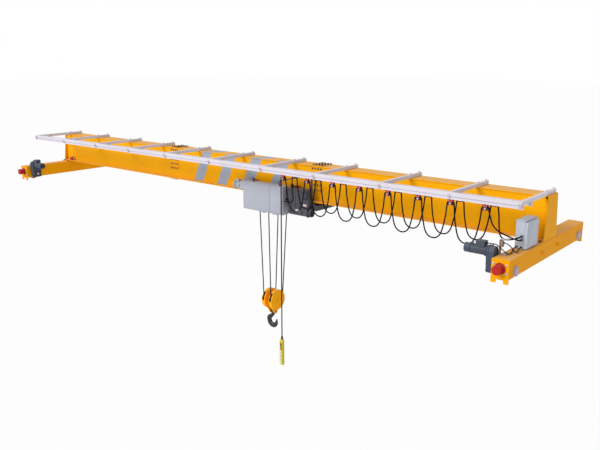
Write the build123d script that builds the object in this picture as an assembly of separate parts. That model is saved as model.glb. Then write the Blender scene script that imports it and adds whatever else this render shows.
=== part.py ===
from build123d import *
import math
import os

# Overhead travelling crane with one box girder, an underslung trolley and a cable festoon.
# Millimetres. X runs along the girder, Y along the runway, away from the control side, Z up.
# The origin is at mid-span, at the height of the runway rail tops.

# Bridge
SPAN = 10500
RUNNING_GAP = 0.3
BOLT_HEAD = 30
BOLT_HEAD_HEIGHT = 12

# End trucks
TRUCK_WIDTH = 215
TRUCK_BOTTOM = 24
TRUCK_HEIGHT = 232
TRUCK_LENGTH = 2470
TRUCK_WALL = 8
TRUCK_CORNER = 10
FOOT_BOTTOM = -28
FOOT_NOTCH = 94
NOTCH_TOP = 14
END_PLATE = 12
WHEEL_SETBACK = 180
SEAT_PLATE = 12
SEAT_LENGTH = 560
JOINT_PLUG = 66
JOINT_PLUG_HEIGHT = 8
JOINT_PLUG_SPREAD = 520
BUFFER_BASE = 136
BUFFER_DIAMETER = 120
BUFFER_LENGTH = 100
BUFFER_FLANGE = 8
BUFFER_HEIGHT = 150

# Bridge wheels
WHEEL_TREAD = 200
WHEEL_TREAD_WIDTH = 64
WHEEL_RIM = 230
WHEEL_RIM_WIDTH = 14
WHEEL_DISH = 10
WHEEL_SLOT_WIDTH = 124
WHEEL_SLOT_LENGTH = 262
AXLE_DIAMETER = 50
AXLE_FIT = 0.05
AXLE_END_GAP = 3
HUB_BOSS = 84
HUB_BOSS_CLEARANCE = 1
HUB_FLANGE = 128
HUB_FLANGE_THICKNESS = 12
HUB_CAP = 92
HUB_CAP_THICKNESS = 9
HUB_BOSS_REACH = 22

# Travel drives
GEARCASE_THICKNESS = 112
GEARCASE_FOOT_WIDTH = 168
GEARCASE_BOTTOM = 36
GEARCASE_FOOT_HEIGHT = 150
GEARCASE_FOOT_CORNER = 16
GEARCASE_TOP_RADIUS = 70
GEARCASE_RISE = 190
GEARCASE_SHIFT = 41
GEARCASE_STANDOFF = 14
TRAVEL_MOTOR_LENGTH = 286
TRAVEL_MOTOR_DIAMETER = 118
TERMINAL_BOX_LENGTH = 110
TERMINAL_BOX_WIDTH = 92
TERMINAL_BOX_HEIGHT = 46
POST_HEIGHT = 178
POST_PLATE = 8

# Girder
GIRDER_OVERHANG = 100
FLANGE_HALF = 215
FLANGE_THICKNESS = 16
WEB_THICKNESS = 8
WEB_FOOT_HALF = 146
WEB_HEAD_HALF = 135
TOP_HALF = 150
TOP_THICKNESS = 12
GIRDER_HEIGHT = 564
SCALLOP = 36
CLOSING_PLATE = 12
SPLICE_X = 1700
SPLICE_PLATE = 8
SPLICE_EDGE = 30
SPLICE_END = 40
SPLICE_COLUMNS = (-84, -30, 30, 84)
SPLICE_ROWS = (455, 535, 615)
COVER_ROWS = (-0.8, -0.3, 0.3, 0.8)
COVER_INSET = 14
STOP_SETBACK = 245
STOP_LENGTH = 60
STOP_HEIGHT = 64
STOP_PIN = 32

# Festoon frame and rails
ARM_SHARES = (-0.4841, -0.3883, -0.286, -0.1907, -0.0953, 0.0079, 0.1154, 0.2112, 0.3154, 0.4107, 0.4953)
ARM_SIZE = 50
ARM_WALL = 3
ARM_INSET = 5
ARM_BOLT = 22
BEAM_FRONT = -935
CLEAT_WIDTH = 26
RAIL_SIZE = 42
RAIL_WALL = 3
RAIL_SLOT = 16
RAIL_INSET = 40
RAIL_SPACING = 255

# Festoon carriers and cables
CARRIER_COUNT = 7
CARRIER_PITCH = 457
CLAMP_SETBACK = 378
ROLLER = 22
ROLLER_WIDTH = 9
ROLLER_SPREAD = 48
HANGER = 8
SADDLE_RADIUS = 46
SADDLE_WIDTH = 30
SADDLE_DROP = 72
SADDLE_CHEEK = 3
CABLE = 18
LEAD = 12
CABLE_GAP = 0.3
LOOP_DROP = 500
CABLE_TAIL = 46

# Control cabinet
CABINET_SETBACK = 65
CABINET_DEPTH = 111
CABINET_FAR = -365
CABINET_WIDTH = 340
CABINET_HEIGHT = 352
CABINET_WALL = 3
CABINET_LIP = 16
CABINET_FOOT = 16
GLAND = 30
GLAND_LENGTH = 22
LEAD_GLAND = 22
LEAD_GLAND_LENGTH = 18
DOOR_THICKNESS = 30
DOOR_DROP = 14
DOOR_GAP = 2
HINGE_OFFSET = 5
HINGE_PIN = 6
HINGE_LUG = 9
HINGE_KNUCKLE = 12
KNUCKLE_LENGTH = 30
LUG_LENGTH = 14

# Trolley, its lengths measured from the centre line of the hook
TOW_REACH = 1038
TROLLEY_LEFT = 435
TROLLEY_RIGHT = 1145
TROLLEY_PLATE = 12
TROLLEY_WHEEL = 200
TROLLEY_WHEEL_WIDTH = 48
TROLLEY_RIM = 224
TROLLEY_RIM_WIDTH = 10
TROLLEY_RIM_GAP = 4
TROLLEY_RIM_CLEARANCE = 3
TROLLEY_WHEEL_LEFT = 195
TROLLEY_WHEEL_BASE = 920
TROLLEY_AXLE = 40
CHEEK_HALF = 70
CHEEK_RISE = 75
PLATE_WAIST = 190
PLATE_HOLE = 80
BEAM_GAP = 30
BEAM_HEIGHT = 78
BEAM_WIDTH = 84
BEAM_WALL = 6
END_BEAM_WIDTH = 240
PANEL_LEFT = 299
PANEL_LENGTH = 870
PANEL_DROP = 126
PANEL_HEIGHT = 464
PANEL_DEPTH = 154
FEED_GLAND_Z = 250
FEED_GLAND_LENGTH = 24
WEIGHT_GAP = 66
WEIGHT_LENGTH = 428
WEIGHT_DROP = 90
WEIGHT_HEIGHT = 426
WEIGHT_DEPTH = 101
WEIGHT_CORNER = 30
BUMPER = 124
BUMPER_LENGTH = 52
EYE_RADIUS = 30
EYE_HOLE = 32
DRIVE_LEFT = 413
DRIVE_CASE = 108
DRIVE_DEPTH = 120
DRIVE_MOTOR = 124
DRIVE_MOTOR_COWL = 150
DRIVE_MOTOR_LENGTH = 112
TOW_BAR = 30
TOW_BAR_THICKNESS = 10
TOW_CLEARANCE = 5

# Hoist machinery
DRUM_LENGTH = 470
DRUM_DIAMETER = 280
DRUM_CLEARANCE = 21
DRUM_DROP = 80
DRUM_FLANGE = 12
DRUM_JOURNAL = 90
JOURNAL_FIT = 0.2
JOURNAL_LENGTH = 18
BRACKET = 12
GROOVE_PITCH = 20.5
GROOVE_TURNS = 9
FALL_SPREAD = 200
SHEAVE_INSET = 27
SHEAVE_PIN = 40
HOIST_MOTOR_LENGTH = 300
GEARBOX_LENGTH = 150

# Hook block
ROPE = 18
ROPE_GROOVE_GAP = 0.5
SHEAVE_ROPE_RADIUS = 150
SHEAVE_SPREAD = 160
BLOCK_Z = -1635
BLOCK_RADIUS = 178
COVER_WIDTH = 78
COVER_WALL = 5
COVER_BOSS = 80
COVER_BOSS_THICKNESS = 12
COVER_EDGE = 14
YOKE_PLATE = 16
YOKE_CORE = 55
YOKE_FOOT = 40
YOKE_FOOT_RISE = 34
YOKE_TRUNNION = 32
BLOCK_PIN = 60
HOOK_SEAT = -1897
HOOK_SHANK = 56
HOOK_BOWL_DROP = 139
CROSSHEAD = 78
CROSSHEAD_HEIGHT = 60

# Pendant
PENDANT_TOP = -1830
PENDANT_HEIGHT = 430
PENDANT_WIDTH = 68
PENDANT_DEPTH = 46
PENDANT_CORNER = 14
PENDANT_SHOULDER = 14
BUTTON_COUNT = 9
BUTTON_PITCH = 39
BUTTON = 28

# Worked out from the sizes above
GIRDER_LENGTH = SPAN + 2 * GIRDER_OVERHANG
TRUCK_TOP = TRUCK_BOTTOM + TRUCK_HEIGHT
GIRDER_BOTTOM = TRUCK_TOP + SEAT_PLATE
GIRDER_TOP = GIRDER_BOTTOM + GIRDER_HEIGHT
FLANGE_TOP = GIRDER_BOTTOM + FLANGE_THICKNESS
WHEEL_CENTRE = WHEEL_TREAD / 2
WHEEL_BASE = TRUCK_LENGTH - 2 * WHEEL_SETBACK
ARM_XS = [GIRDER_LENGTH * share for share in ARM_SHARES]
BEAM_ENDS = (ARM_XS[0] - ARM_SIZE / 2, ARM_XS[-1] + ARM_SIZE / 2)
FRONT_RAIL_Y = BEAM_FRONT + RAIL_INSET
REAR_RAIL_Y = FRONT_RAIL_Y + RAIL_SPACING
RAIL_BOTTOM = GIRDER_TOP - RAIL_SIZE
ROLLER_Z = RAIL_BOTTOM + RAIL_WALL + ROLLER / 2 + RUNNING_GAP
SADDLE_Z = RAIL_BOTTOM - SADDLE_DROP
CABLE_TOP = SADDLE_Z + SADDLE_RADIUS
CLAMP_X = SPAN / 2 - CLAMP_SETBACK
CARRIER_XS = [CLAMP_X - CARRIER_PITCH * (CARRIER_COUNT - i) for i in range(CARRIER_COUNT)]
GEARCASE_X = SPAN / 2 - TRUCK_WIDTH / 2 - GEARCASE_THICKNESS
CABINET_X = (SPAN / 2 - CABINET_SETBACK, SPAN / 2 - CABINET_SETBACK + CABINET_DEPTH)
CABINET_Y = (CABINET_FAR - CABINET_WIDTH, CABINET_FAR)
CABINET_Z = (TRUCK_TOP + CABINET_FOOT, TRUCK_TOP + CABINET_HEIGHT)
HOIST_X = CARRIER_XS[0] - TOW_REACH
TROLLEY_X = (HOIST_X - TROLLEY_LEFT, HOIST_X + TROLLEY_RIGHT)
WHEEL_XS = (HOIST_X - TROLLEY_WHEEL_LEFT, HOIST_X - TROLLEY_WHEEL_LEFT + TROLLEY_WHEEL_BASE)
PLATE_IN = FLANGE_HALF + TROLLEY_RIM_GAP + TROLLEY_RIM_WIDTH + TROLLEY_RIM_CLEARANCE
PLATE_OUT = PLATE_IN + TROLLEY_PLATE
AXLE_Z = FLANGE_TOP + TROLLEY_WHEEL / 2 + RUNNING_GAP
BEAM_TOP = GIRDER_BOTTOM - SPLICE_PLATE - BOLT_HEAD_HEIGHT - BEAM_GAP
BEAM_BOTTOM = BEAM_TOP - BEAM_HEIGHT
PANEL_X = (HOIST_X - PANEL_LEFT, HOIST_X - PANEL_LEFT + PANEL_LENGTH)
PANEL_Z = (BEAM_BOTTOM - PANEL_DROP, BEAM_BOTTOM - PANEL_DROP + PANEL_HEIGHT)
PANEL_FRONT = -(PLATE_OUT + PANEL_DEPTH)
FEED_GLAND_Y = -(PLATE_OUT + WEIGHT_DEPTH + GLAND)
WEIGHT_X = (PANEL_X[1] + WEIGHT_GAP, PANEL_X[1] + WEIGHT_GAP + WEIGHT_LENGTH)
WEIGHT_Z = (BEAM_BOTTOM - WEIGHT_DROP, BEAM_BOTTOM - WEIGHT_DROP + WEIGHT_HEIGHT)
DRUM_X = (HOIST_X - DRUM_LENGTH / 2, HOIST_X + DRUM_LENGTH / 2)
DRUM_Y = PLATE_OUT + DRUM_DIAMETER / 2 + DRUM_CLEARANCE
DRUM_Z = BEAM_BOTTOM - DRUM_DROP
FALL_Y = (SHEAVE_INSET - PLATE_IN, DRUM_Y - DRUM_DIAMETER / 2)


def block(xs, ys, zs):
    """A plain box between two values on each axis."""
    size = [abs(pair[1] - pair[0]) for pair in (xs, ys, zs)]
    middle = [(pair[0] + pair[1]) / 2 for pair in (xs, ys, zs)]
    return Pos(*middle) * Box(*size)


def along_x(sketch, x0, x1):
    """Extrude a sketch drawn in Y and Z between two X values."""
    return extrude(Plane.YZ.offset(min(x0, x1)) * sketch, amount=abs(x1 - x0))


def along_y(sketch, y0, y1):
    """Extrude a sketch drawn in X and Z between two Y values."""
    return extrude(Plane.XZ.offset(-max(y0, y1)) * sketch, amount=abs(y1 - y0))


def along_z(sketch, z0, z1):
    """Extrude a sketch drawn in X and Y between two Z values."""
    return extrude(Plane.XY.offset(min(z0, z1)) * sketch, amount=abs(z1 - z0))


def rod_x(x0, x1, y, z, radius):
    return along_x(Pos(y, z) * Circle(radius), x0, x1)


def rod_y(y0, y1, x, z, radius):
    return along_y(Pos(x, z) * Circle(radius), y0, y1)


def rod_z(z0, z1, x, y, radius):
    return along_z(Pos(x, y) * Circle(radius), z0, z1)


def outline(*points):
    return make_face(Polyline(*points, close=True))


def ring_places(count, radius, first=0):
    """Two offsets for each of several things spaced evenly round a circle."""
    turns = [math.radians(first + 360 * number / count) for number in range(count)]
    return [(radius * math.cos(turn), radius * math.sin(turn)) for turn in turns]


def hexagon(across=BOLT_HEAD):
    return RegularPolygon(across / 2, 6)


def save(name, shapes):
    """Write one node; several solids on one body share it."""
    solids = []
    for shape in shapes if isinstance(shapes, (list, tuple)) else [shapes]:
        solids += shape.solids()
    part = solids[0] if len(solids) == 1 else Compound(children=solids)
    part.label = name
    export_step(part, f"parts/{name}.step")


# Girder
def girder_profile():
    """Box section with leaning webs and a flange that juts out for the trolley wheels."""
    head = GIRDER_TOP - TOP_THICKNESS
    shell = outline(
        (-TOP_HALF, GIRDER_TOP),
        (TOP_HALF, GIRDER_TOP),
        (TOP_HALF, head),
        (WEB_HEAD_HALF, head),
        (WEB_FOOT_HALF, FLANGE_TOP),
        (FLANGE_HALF, FLANGE_TOP),
        (FLANGE_HALF, GIRDER_BOTTOM),
        (-FLANGE_HALF, GIRDER_BOTTOM),
        (-FLANGE_HALF, FLANGE_TOP),
        (-WEB_FOOT_HALF, FLANGE_TOP),
        (-WEB_HEAD_HALF, head),
        (-TOP_HALF, head),
    )
    hollow = outline(
        (-WEB_HEAD_HALF + WEB_THICKNESS, head),
        (WEB_HEAD_HALF - WEB_THICKNESS, head),
        (WEB_FOOT_HALF - WEB_THICKNESS, FLANGE_TOP),
        (-WEB_FOOT_HALF + WEB_THICKNESS, FLANGE_TOP),
    )
    return shell - hollow


def scallops(side):
    """Round clearance cuts at the web corners of one girder end."""
    x = side * (GIRDER_LENGTH / 2 - CLOSING_PLATE)
    heights = (FLANGE_TOP, GIRDER_TOP - TOP_THICKNESS)
    keep = block((x - 2 * SCALLOP, x + 2 * SCALLOP), (-TOP_HALF, TOP_HALF), heights)
    return [rod_y(-TOP_HALF, TOP_HALF, x, z, SCALLOP) & keep for z in heights]


def girder_section(x0, x1):
    section = along_x(girder_profile(), x0, x1)
    for side in (-1, 1):
        if x0 <= side * (GIRDER_LENGTH / 2 - CLOSING_PLATE) <= x1:
            for cut in scallops(side):
                section -= cut
    return section


def closing_plate(side):
    x = side * (GIRDER_LENGTH / 2 - CLOSING_PLATE)
    shape = outline(
        (-TOP_HALF, GIRDER_TOP),
        (TOP_HALF, GIRDER_TOP),
        (FLANGE_HALF, GIRDER_BOTTOM),
        (-FLANGE_HALF, GIRDER_BOTTOM),
    )
    return along_x(shape, x, x + side * CLOSING_PLATE)


def web_y(z):
    """Outer face of the web at a height."""
    share = (z - FLANGE_TOP) / (GIRDER_TOP - TOP_THICKNESS - FLANGE_TOP)
    return WEB_FOOT_HALF + (WEB_HEAD_HALF - WEB_FOOT_HALF) * share


def web_lean():
    """Lean of the webs from upright, in degrees."""
    rise = GIRDER_HEIGHT - FLANGE_THICKNESS - TOP_THICKNESS
    return math.degrees(math.atan2(WEB_FOOT_HALF - WEB_HEAD_HALF, rise))


def web_cover(x, way):
    """Bolted cover plate on one web."""
    reach = SPLICE_COLUMNS[-1] + SPLICE_EDGE
    low = SPLICE_ROWS[0] - SPLICE_END
    high = SPLICE_ROWS[-1] + SPLICE_END
    shape = outline(
        (way * web_y(low), low),
        (way * (web_y(low) + SPLICE_PLATE), low),
        (way * (web_y(high) + SPLICE_PLATE), high),
        (way * web_y(high), high),
    )
    plate = along_x(shape, x - reach, x + reach)
    for column in SPLICE_COLUMNS:
        for row in SPLICE_ROWS:
            place = (x + column, way * (web_y(row) + SPLICE_PLATE), row)
            at = Location(place, (way * (90 - web_lean()), 0, 0))
            plate += at * extrude(hexagon(), amount=-BOLT_HEAD_HEIGHT)
    return plate


def flange_cover(x, z, out, half):
    """Bolted cover plate on the top plate or under the bottom flange."""
    reach = SPLICE_COLUMNS[-1] + SPLICE_EDGE
    face = z + out * SPLICE_PLATE
    plate = block((x - reach, x + reach), (-half, half), (z, face))
    for column in SPLICE_COLUMNS:
        for row in COVER_ROWS:
            plate += extrude(Pos(x + column, row * half, face) * hexagon(), amount=out * BOLT_HEAD_HEIGHT)
    return plate


def splice(side):
    """Cover plates of one bolted joint of the girder."""
    x = side * SPLICE_X
    return [
        web_cover(x, -1),
        web_cover(x, 1),
        flange_cover(x, GIRDER_TOP, 1, TOP_HALF - COVER_INSET),
        flange_cover(x, GIRDER_BOTTOM, -1, FLANGE_HALF - COVER_INSET),
    ]


# End trucks
def truck_frame(side):
    """Welded box with notched end plates, wheel slots and axle holes."""
    x = side * SPAN / 2
    middle = (TRUCK_TOP + TRUCK_BOTTOM) / 2
    outer = Pos(x, middle) * RectangleRounded(TRUCK_WIDTH, TRUCK_HEIGHT, TRUCK_CORNER)
    inner = Pos(x, middle) * Rectangle(TRUCK_WIDTH - 2 * TRUCK_WALL, TRUCK_HEIGHT - 2 * TRUCK_WALL)
    half = TRUCK_LENGTH / 2 - END_PLATE
    frame = along_y(outer - inner, -half, half)
    slot_x = (x - WHEEL_SLOT_WIDTH / 2, x + WHEEL_SLOT_WIDTH / 2)
    slot_z = (TRUCK_BOTTOM - 1, TRUCK_BOTTOM + TRUCK_WALL + 1)
    for way in (-1, 1):
        y = way * WHEEL_BASE / 2
        frame -= block(slot_x, (y - WHEEL_SLOT_LENGTH / 2, y + WHEEL_SLOT_LENGTH / 2), slot_z)
        frame -= rod_x(x - TRUCK_WIDTH, x + TRUCK_WIDTH, y, WHEEL_CENTRE, HUB_BOSS / 2 + HUB_BOSS_CLEARANCE)
        frame += end_plate(x, way)
        frame += joint_plug(side, way * JOINT_PLUG_SPREAD / 2, middle)
    return frame


def joint_plug(side, y, z):
    """Round cap over one of the large bolts that tie truck and girder."""
    face = side * (SPAN / 2 + TRUCK_WIDTH / 2)
    cap = rod_x(face, face + side * JOINT_PLUG_HEIGHT, y, z, JOINT_PLUG / 2)
    return chamfer(cap.faces().sort_by(Axis.X)[-1 if side > 0 else 0].edges(), JOINT_PLUG_HEIGHT / 2)


def end_plate(x, way):
    """End plate whose two feet straddle the rail."""
    half = TRUCK_WIDTH / 2
    notch = FOOT_NOTCH / 2
    shape = outline(
        (x - half, TRUCK_TOP),
        (x + half, TRUCK_TOP),
        (x + half, FOOT_BOTTOM),
        (x + notch, FOOT_BOTTOM),
        (x + notch, NOTCH_TOP),
        (x - notch, NOTCH_TOP),
        (x - notch, FOOT_BOTTOM),
        (x - half, FOOT_BOTTOM),
    )
    return along_y(shape, way * (TRUCK_LENGTH / 2 - END_PLATE), way * TRUCK_LENGTH / 2)


def girder_seat(side):
    """Packing plate between truck and girder."""
    x = side * SPAN / 2
    half = TRUCK_WIDTH / 2 - TRUCK_CORNER
    return block((x - half, x + half), (-SEAT_LENGTH / 2, SEAT_LENGTH / 2), (TRUCK_TOP, GIRDER_BOTTOM))


def buffer_profile():
    """Half section of the waisted elastomer buffer."""
    radius, base = BUFFER_DIAMETER / 2, BUFFER_BASE / 2
    end = BUFFER_FLANGE + BUFFER_LENGTH
    waist = (radius - 16, BUFFER_FLANGE + BUFFER_LENGTH / 3)
    shoulder = (radius - 8, BUFFER_FLANGE + BUFFER_LENGTH * 2 / 3)
    profile = Polyline((0, 0), (base, 0), (base, BUFFER_FLANGE), (radius - 10, BUFFER_FLANGE))
    profile += ThreePointArc((radius - 10, BUFFER_FLANGE), waist, shoulder)
    profile += Polyline(shoulder, (radius - 3, end), (0, end), (0, 0))
    return make_face(profile)


def buffer(side, way):
    """Round elastomer buffer on the truck's end plate."""
    x = side * SPAN / 2
    face = way * TRUCK_LENGTH / 2
    body = revolve(Plane.XZ * buffer_profile(), axis=Axis.Z)
    return Location((x, face, BUFFER_HEIGHT), (-90 * way, 0, 0)) * body


def hub_cover(side, way, out):
    """Bearing cover on a truck side, bored blind for the axle end."""
    x = side * SPAN / 2
    y = way * WHEEL_BASE / 2
    face = x + out * TRUCK_WIDTH / 2
    cap = face + out * HUB_FLANGE_THICKNESS
    cover = rod_x(face, cap, y, WHEEL_CENTRE, HUB_FLANGE / 2)
    cover += rod_x(cap, cap + out * HUB_CAP_THICKNESS, y, WHEEL_CENTRE, HUB_CAP / 2)
    cover += rod_x(face, face - out * HUB_BOSS_REACH, y, WHEEL_CENTRE, HUB_BOSS / 2)
    for dy, dz in ring_places(6, HUB_FLANGE / 2 - 8, 30):
        cover += rod_x(cap, cap + out * 6, y + dy, WHEEL_CENTRE + dz, 6.5)
    bore = AXLE_DIAMETER / 2 + AXLE_FIT
    cover -= rod_x(cap - out * 2, face - out * (HUB_BOSS_REACH + 1), y, WHEEL_CENTRE, bore)
    return cover


def bridge_wheel(side, way):
    """Double-flanged wheel on its axle."""
    half = WHEEL_TREAD_WIDTH / 2
    rim = half + WHEEL_RIM_WIDTH
    profile = outline(
        (-rim, 0),
        (-rim, WHEEL_RIM / 2 - 4),
        (-rim + 4, WHEEL_RIM / 2),
        (-half - 4, WHEEL_RIM / 2),
        (-half, WHEEL_TREAD / 2),
        (half, WHEEL_TREAD / 2),
        (half + 4, WHEEL_RIM / 2),
        (rim - 4, WHEEL_RIM / 2),
        (rim, WHEEL_RIM / 2 - 4),
        (rim, 0),
    )
    wheel = revolve(Plane.XY * profile, axis=Axis.X)
    for end in (-1, 1):
        dish = rod_x(end * rim, end * (rim - WHEEL_DISH), 0, 0, WHEEL_TREAD / 2 - 16)
        wheel -= dish - rod_x(end * rim, end * (rim - WHEEL_DISH), 0, 0, HUB_CAP / 2)
    length = TRUCK_WIDTH / 2 + HUB_FLANGE_THICKNESS - 2 - AXLE_END_GAP
    wheel += rod_x(-length, length, 0, 0, AXLE_DIAMETER / 2)
    return Pos(side * SPAN / 2, way * WHEEL_BASE / 2, WHEEL_CENTRE) * wheel


# Travel drives
def gearcase(side):
    """Shaft-mounted gear case on the inner side of the driven wheel."""
    face = SPAN / 2 - TRUCK_WIDTH / 2
    y = -WHEEL_BASE / 2
    top = (y - GEARCASE_SHIFT, WHEEL_CENTRE + GEARCASE_RISE)
    foot = RectangleRounded(GEARCASE_FOOT_WIDTH, GEARCASE_FOOT_HEIGHT, GEARCASE_FOOT_CORNER)
    low = Pos(y, GEARCASE_BOTTOM + GEARCASE_FOOT_HEIGHT / 2) * foot
    high = Pos(*top) * Circle(GEARCASE_TOP_RADIUS)
    case = along_x(make_hull((low + high).edges()), GEARCASE_X, face - GEARCASE_STANDOFF)
    case = fillet(case.edges().filter_by(Plane.YZ).group_by(Axis.X)[0], 12)
    case += rod_x(face - GEARCASE_STANDOFF, face, y, WHEEL_CENTRE, HUB_FLANGE / 2)
    case += rod_x(face, face + HUB_BOSS_REACH, y, WHEEL_CENTRE, HUB_BOSS / 2)
    case += rod_x(GEARCASE_X + 16, GEARCASE_X + 30, *top, GEARCASE_TOP_RADIUS + 8)
    case += rod_x(GEARCASE_X - 8, GEARCASE_X + 2, y, WHEEL_CENTRE, AXLE_DIAMETER / 2)
    for dy, dz in ring_places(6, HUB_CAP / 2 + 6, 30):
        case += rod_x(GEARCASE_X - 5, GEARCASE_X + 2, y + dy, WHEEL_CENTRE + dz, 7)
    depth = face - HUB_FLANGE_THICKNESS + 2
    case -= rod_x(depth, face + HUB_BOSS_REACH + 1, y, WHEEL_CENTRE, AXLE_DIAMETER / 2 + AXLE_FIT)
    return case if side > 0 else mirror(case, about=Plane.YZ)


def travel_motor(side):
    """Finned motor with fan cowl and terminal box, flanged to the gear case."""
    y = -WHEEL_BASE / 2 - GEARCASE_SHIFT
    z = WHEEL_CENTRE + GEARCASE_RISE
    radius = TRAVEL_MOTOR_DIAMETER / 2
    end = GEARCASE_X - TRAVEL_MOTOR_LENGTH
    motor = rod_x(GEARCASE_X - 14, GEARCASE_X, y, z, radius + 12)
    motor += rod_x(end, GEARCASE_X - 14, y, z, radius - 7)
    motor += rod_x(end, end + 70, y, z, radius)
    fin = block((end + 78, GEARCASE_X - 30), (-2, 2), (0, radius))
    for number in range(20):
        motor += Location((0, y, z), (number * 18 + 9, 0, 0)) * fin
    box_x = (GEARCASE_X - 30 - TERMINAL_BOX_LENGTH, GEARCASE_X - 30)
    box_y = (y - TERMINAL_BOX_WIDTH / 2, y + TERMINAL_BOX_WIDTH / 2)
    motor += block(box_x, box_y, (z + radius - 14, z + radius + TERMINAL_BOX_HEIGHT))
    motor = chamfer(motor.edges().group_by(Axis.X)[0], 6)
    return motor if side > 0 else mirror(motor, about=Plane.YZ)


def post_place():
    return (SPAN / 2 - TRUCK_WIDTH / 2 + 22, -WHEEL_BASE / 2 + 20)


def limit_post():
    """Bent post with a plunger switch on the right truck."""
    x, y = post_place()
    post = block((x - 20, x + 70), (y - 35, y + 35), (TRUCK_TOP, TRUCK_TOP + POST_PLATE))
    post += block((x - 20, x - 12), (y - 25, y + 25), (TRUCK_TOP, TRUCK_TOP + POST_HEIGHT))
    switch_top = TRUCK_TOP + POST_HEIGHT - 12
    post += block((x - 12, x + 22), (y - 20, y + 20), (switch_top - 70, switch_top))
    post += rod_z(switch_top, switch_top + 18, x + 5, y, 9)
    return post


# Control cabinet
def cabinet_body():
    """Open sheet-metal case on two foot rails, with glands and hinge pins."""
    x0, x1 = CABINET_X
    y0, y1 = CABINET_Y
    z0, z1 = CABINET_Z
    wall = CABINET_WALL
    lip = CABINET_LIP
    body = block((x0, x1), (y0, y1), (z0, z1))
    body -= block((x0 + wall, x1 - 12), (y0 + wall, y1 - wall), (z0 + wall, z1 - wall))
    body -= block((x1 - 13, x1 + 1), (y0 + lip, y1 - lip), (z0 + lip, z1 - lip))
    for y in (y0 + 40, y1 - 40):
        body += block((x0 + 4, x1 - 4), (y - 15, y + 15), (TRUCK_TOP, z0))
    for z in gland_heights():
        body += rod_y(y0 - GLAND_LENGTH, y0, gland_x(), z, GLAND / 2)
        body -= rod_y(y0 - GLAND_LENGTH - 1, y0 + lip + 1, gland_x(), z, CABLE / 2 + CABLE_GAP)
    for x in lead_gland_xs():
        body += rod_y(y0 - LEAD_GLAND_LENGTH, y0, x, lead_gland_z(), LEAD_GLAND / 2)
        body -= rod_y(y0 - LEAD_GLAND_LENGTH - 1, y0 + lip + 1, x, lead_gland_z(), LEAD / 2 + CABLE_GAP)
    for z in hinge_heights():
        body += hinge_pin(z)
    return body


def hinge_pin(z):
    """Lug on the case corner with the pin that one door knuckle turns on."""
    x, y = hinge_place()
    root = CABINET_X[1] - 6
    top = z - RUNNING_GAP
    pin = rod_z(top - LUG_LENGTH, top, x, y, HINGE_LUG / 2)
    pin += block((root, x), (y - 3, y + 3), (top - LUG_LENGTH, top))
    pin += block((root, CABINET_X[1]), (CABINET_Y[1] - 1, y + 3), (top - LUG_LENGTH, top))
    return pin + rod_z(top - LUG_LENGTH, z + KNUCKLE_LENGTH, x, y, HINGE_PIN / 2)


def hinge_place():
    return (CABINET_X[1] + DOOR_GAP + DOOR_THICKNESS / 2, CABINET_Y[1] + HINGE_OFFSET)


def hinge_heights():
    return (TRUCK_TOP + 56, TRUCK_TOP + CABINET_HEIGHT - DOOR_DROP - 70)


def gland_heights():
    return (TRUCK_TOP + 128, TRUCK_TOP + 170)


def gland_x():
    return CABINET_X[1] - 26


def lead_gland_xs():
    return (CABINET_X[0] + 28, gland_x())


def lead_gland_z():
    return CABINET_Z[0] + 20


def cabinet_fittings():
    """Mounting plate with two rows of switchgear and a terminal rail."""
    x0 = CABINET_X[0] + CABINET_WALL
    y0, y1 = CABINET_Y
    z0 = CABINET_Z[0] + 30
    plate = block((x0, x0 + 3), (y0 + 30, y1 - 30), (z0, z0 + 270))
    for row, (height, count) in enumerate(((70, 5), (70, 5), (40, 8))):
        z = z0 + 180 - row * 85
        pitch = (y1 - y0 - 90) / count
        plate += block((x0 + 3, x0 + 10), (y0 + 40, y1 - 40), (z + height / 2 - 12, z + height / 2 + 12))
        for number in range(count):
            y = y0 + 45 + pitch * number
            plate += block((x0 + 10, x0 + 10 + height * 0.7), (y, y + pitch - 5), (z, z + height))
    return plate


def cabinet_door():
    """Folded door on the outer face, hinged along its far edge."""
    x0 = CABINET_X[1] + DOOR_GAP
    y0, y1 = CABINET_Y
    z0 = CABINET_Z[0]
    z1 = CABINET_Z[1] - DOOR_DROP
    wall = CABINET_WALL
    door = block((x0, x0 + DOOR_THICKNESS), (y0, y1), (z0, z1))
    door = fillet(door.edges().group_by(Axis.X)[-1], 4)
    door -= block((x0 - 1, x0 + DOOR_THICKNESS - wall), (y0 + wall, y1 - wall), (z0 + wall, z1 - wall))
    for z in (z0 + 60, (z0 + z1) / 2, z1 - 60):
        door += rod_x(x0 + DOOR_THICKNESS, x0 + DOOR_THICKNESS + 4, y0 + 26, z, 11)
    x, y = hinge_place()
    for z in hinge_heights():
        door += rod_z(z, z + KNUCKLE_LENGTH, x, y, HINGE_KNUCKLE / 2)
        door -= rod_z(z - 1, z + KNUCKLE_LENGTH + 1, x, y, HINGE_PIN / 2 + AXLE_FIT)
    return door


# Festoon
def square_tube(size, wall):
    return RectangleRounded(size, size, 6) - RectangleRounded(size - 2 * wall, size - 2 * wall, 3)


def festoon_arms():
    """Square-tube cross arms on the girder's top plate."""
    top = GIRDER_TOP + ARM_SIZE
    tube_face = square_tube(ARM_SIZE, ARM_WALL)
    arms = []
    for x in ARM_XS:
        face = Pos(x, GIRDER_TOP + ARM_SIZE / 2) * tube_face
        arm = along_y(face, BEAM_FRONT + ARM_SIZE, TOP_HALF - ARM_INSET)
        for y in (-TOP_HALF + 30, TOP_HALF - 40):
            arm += rod_z(top - 1, top + 8, x, y, ARM_BOLT / 2)
        arms.append(arm)
    return arms


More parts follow.
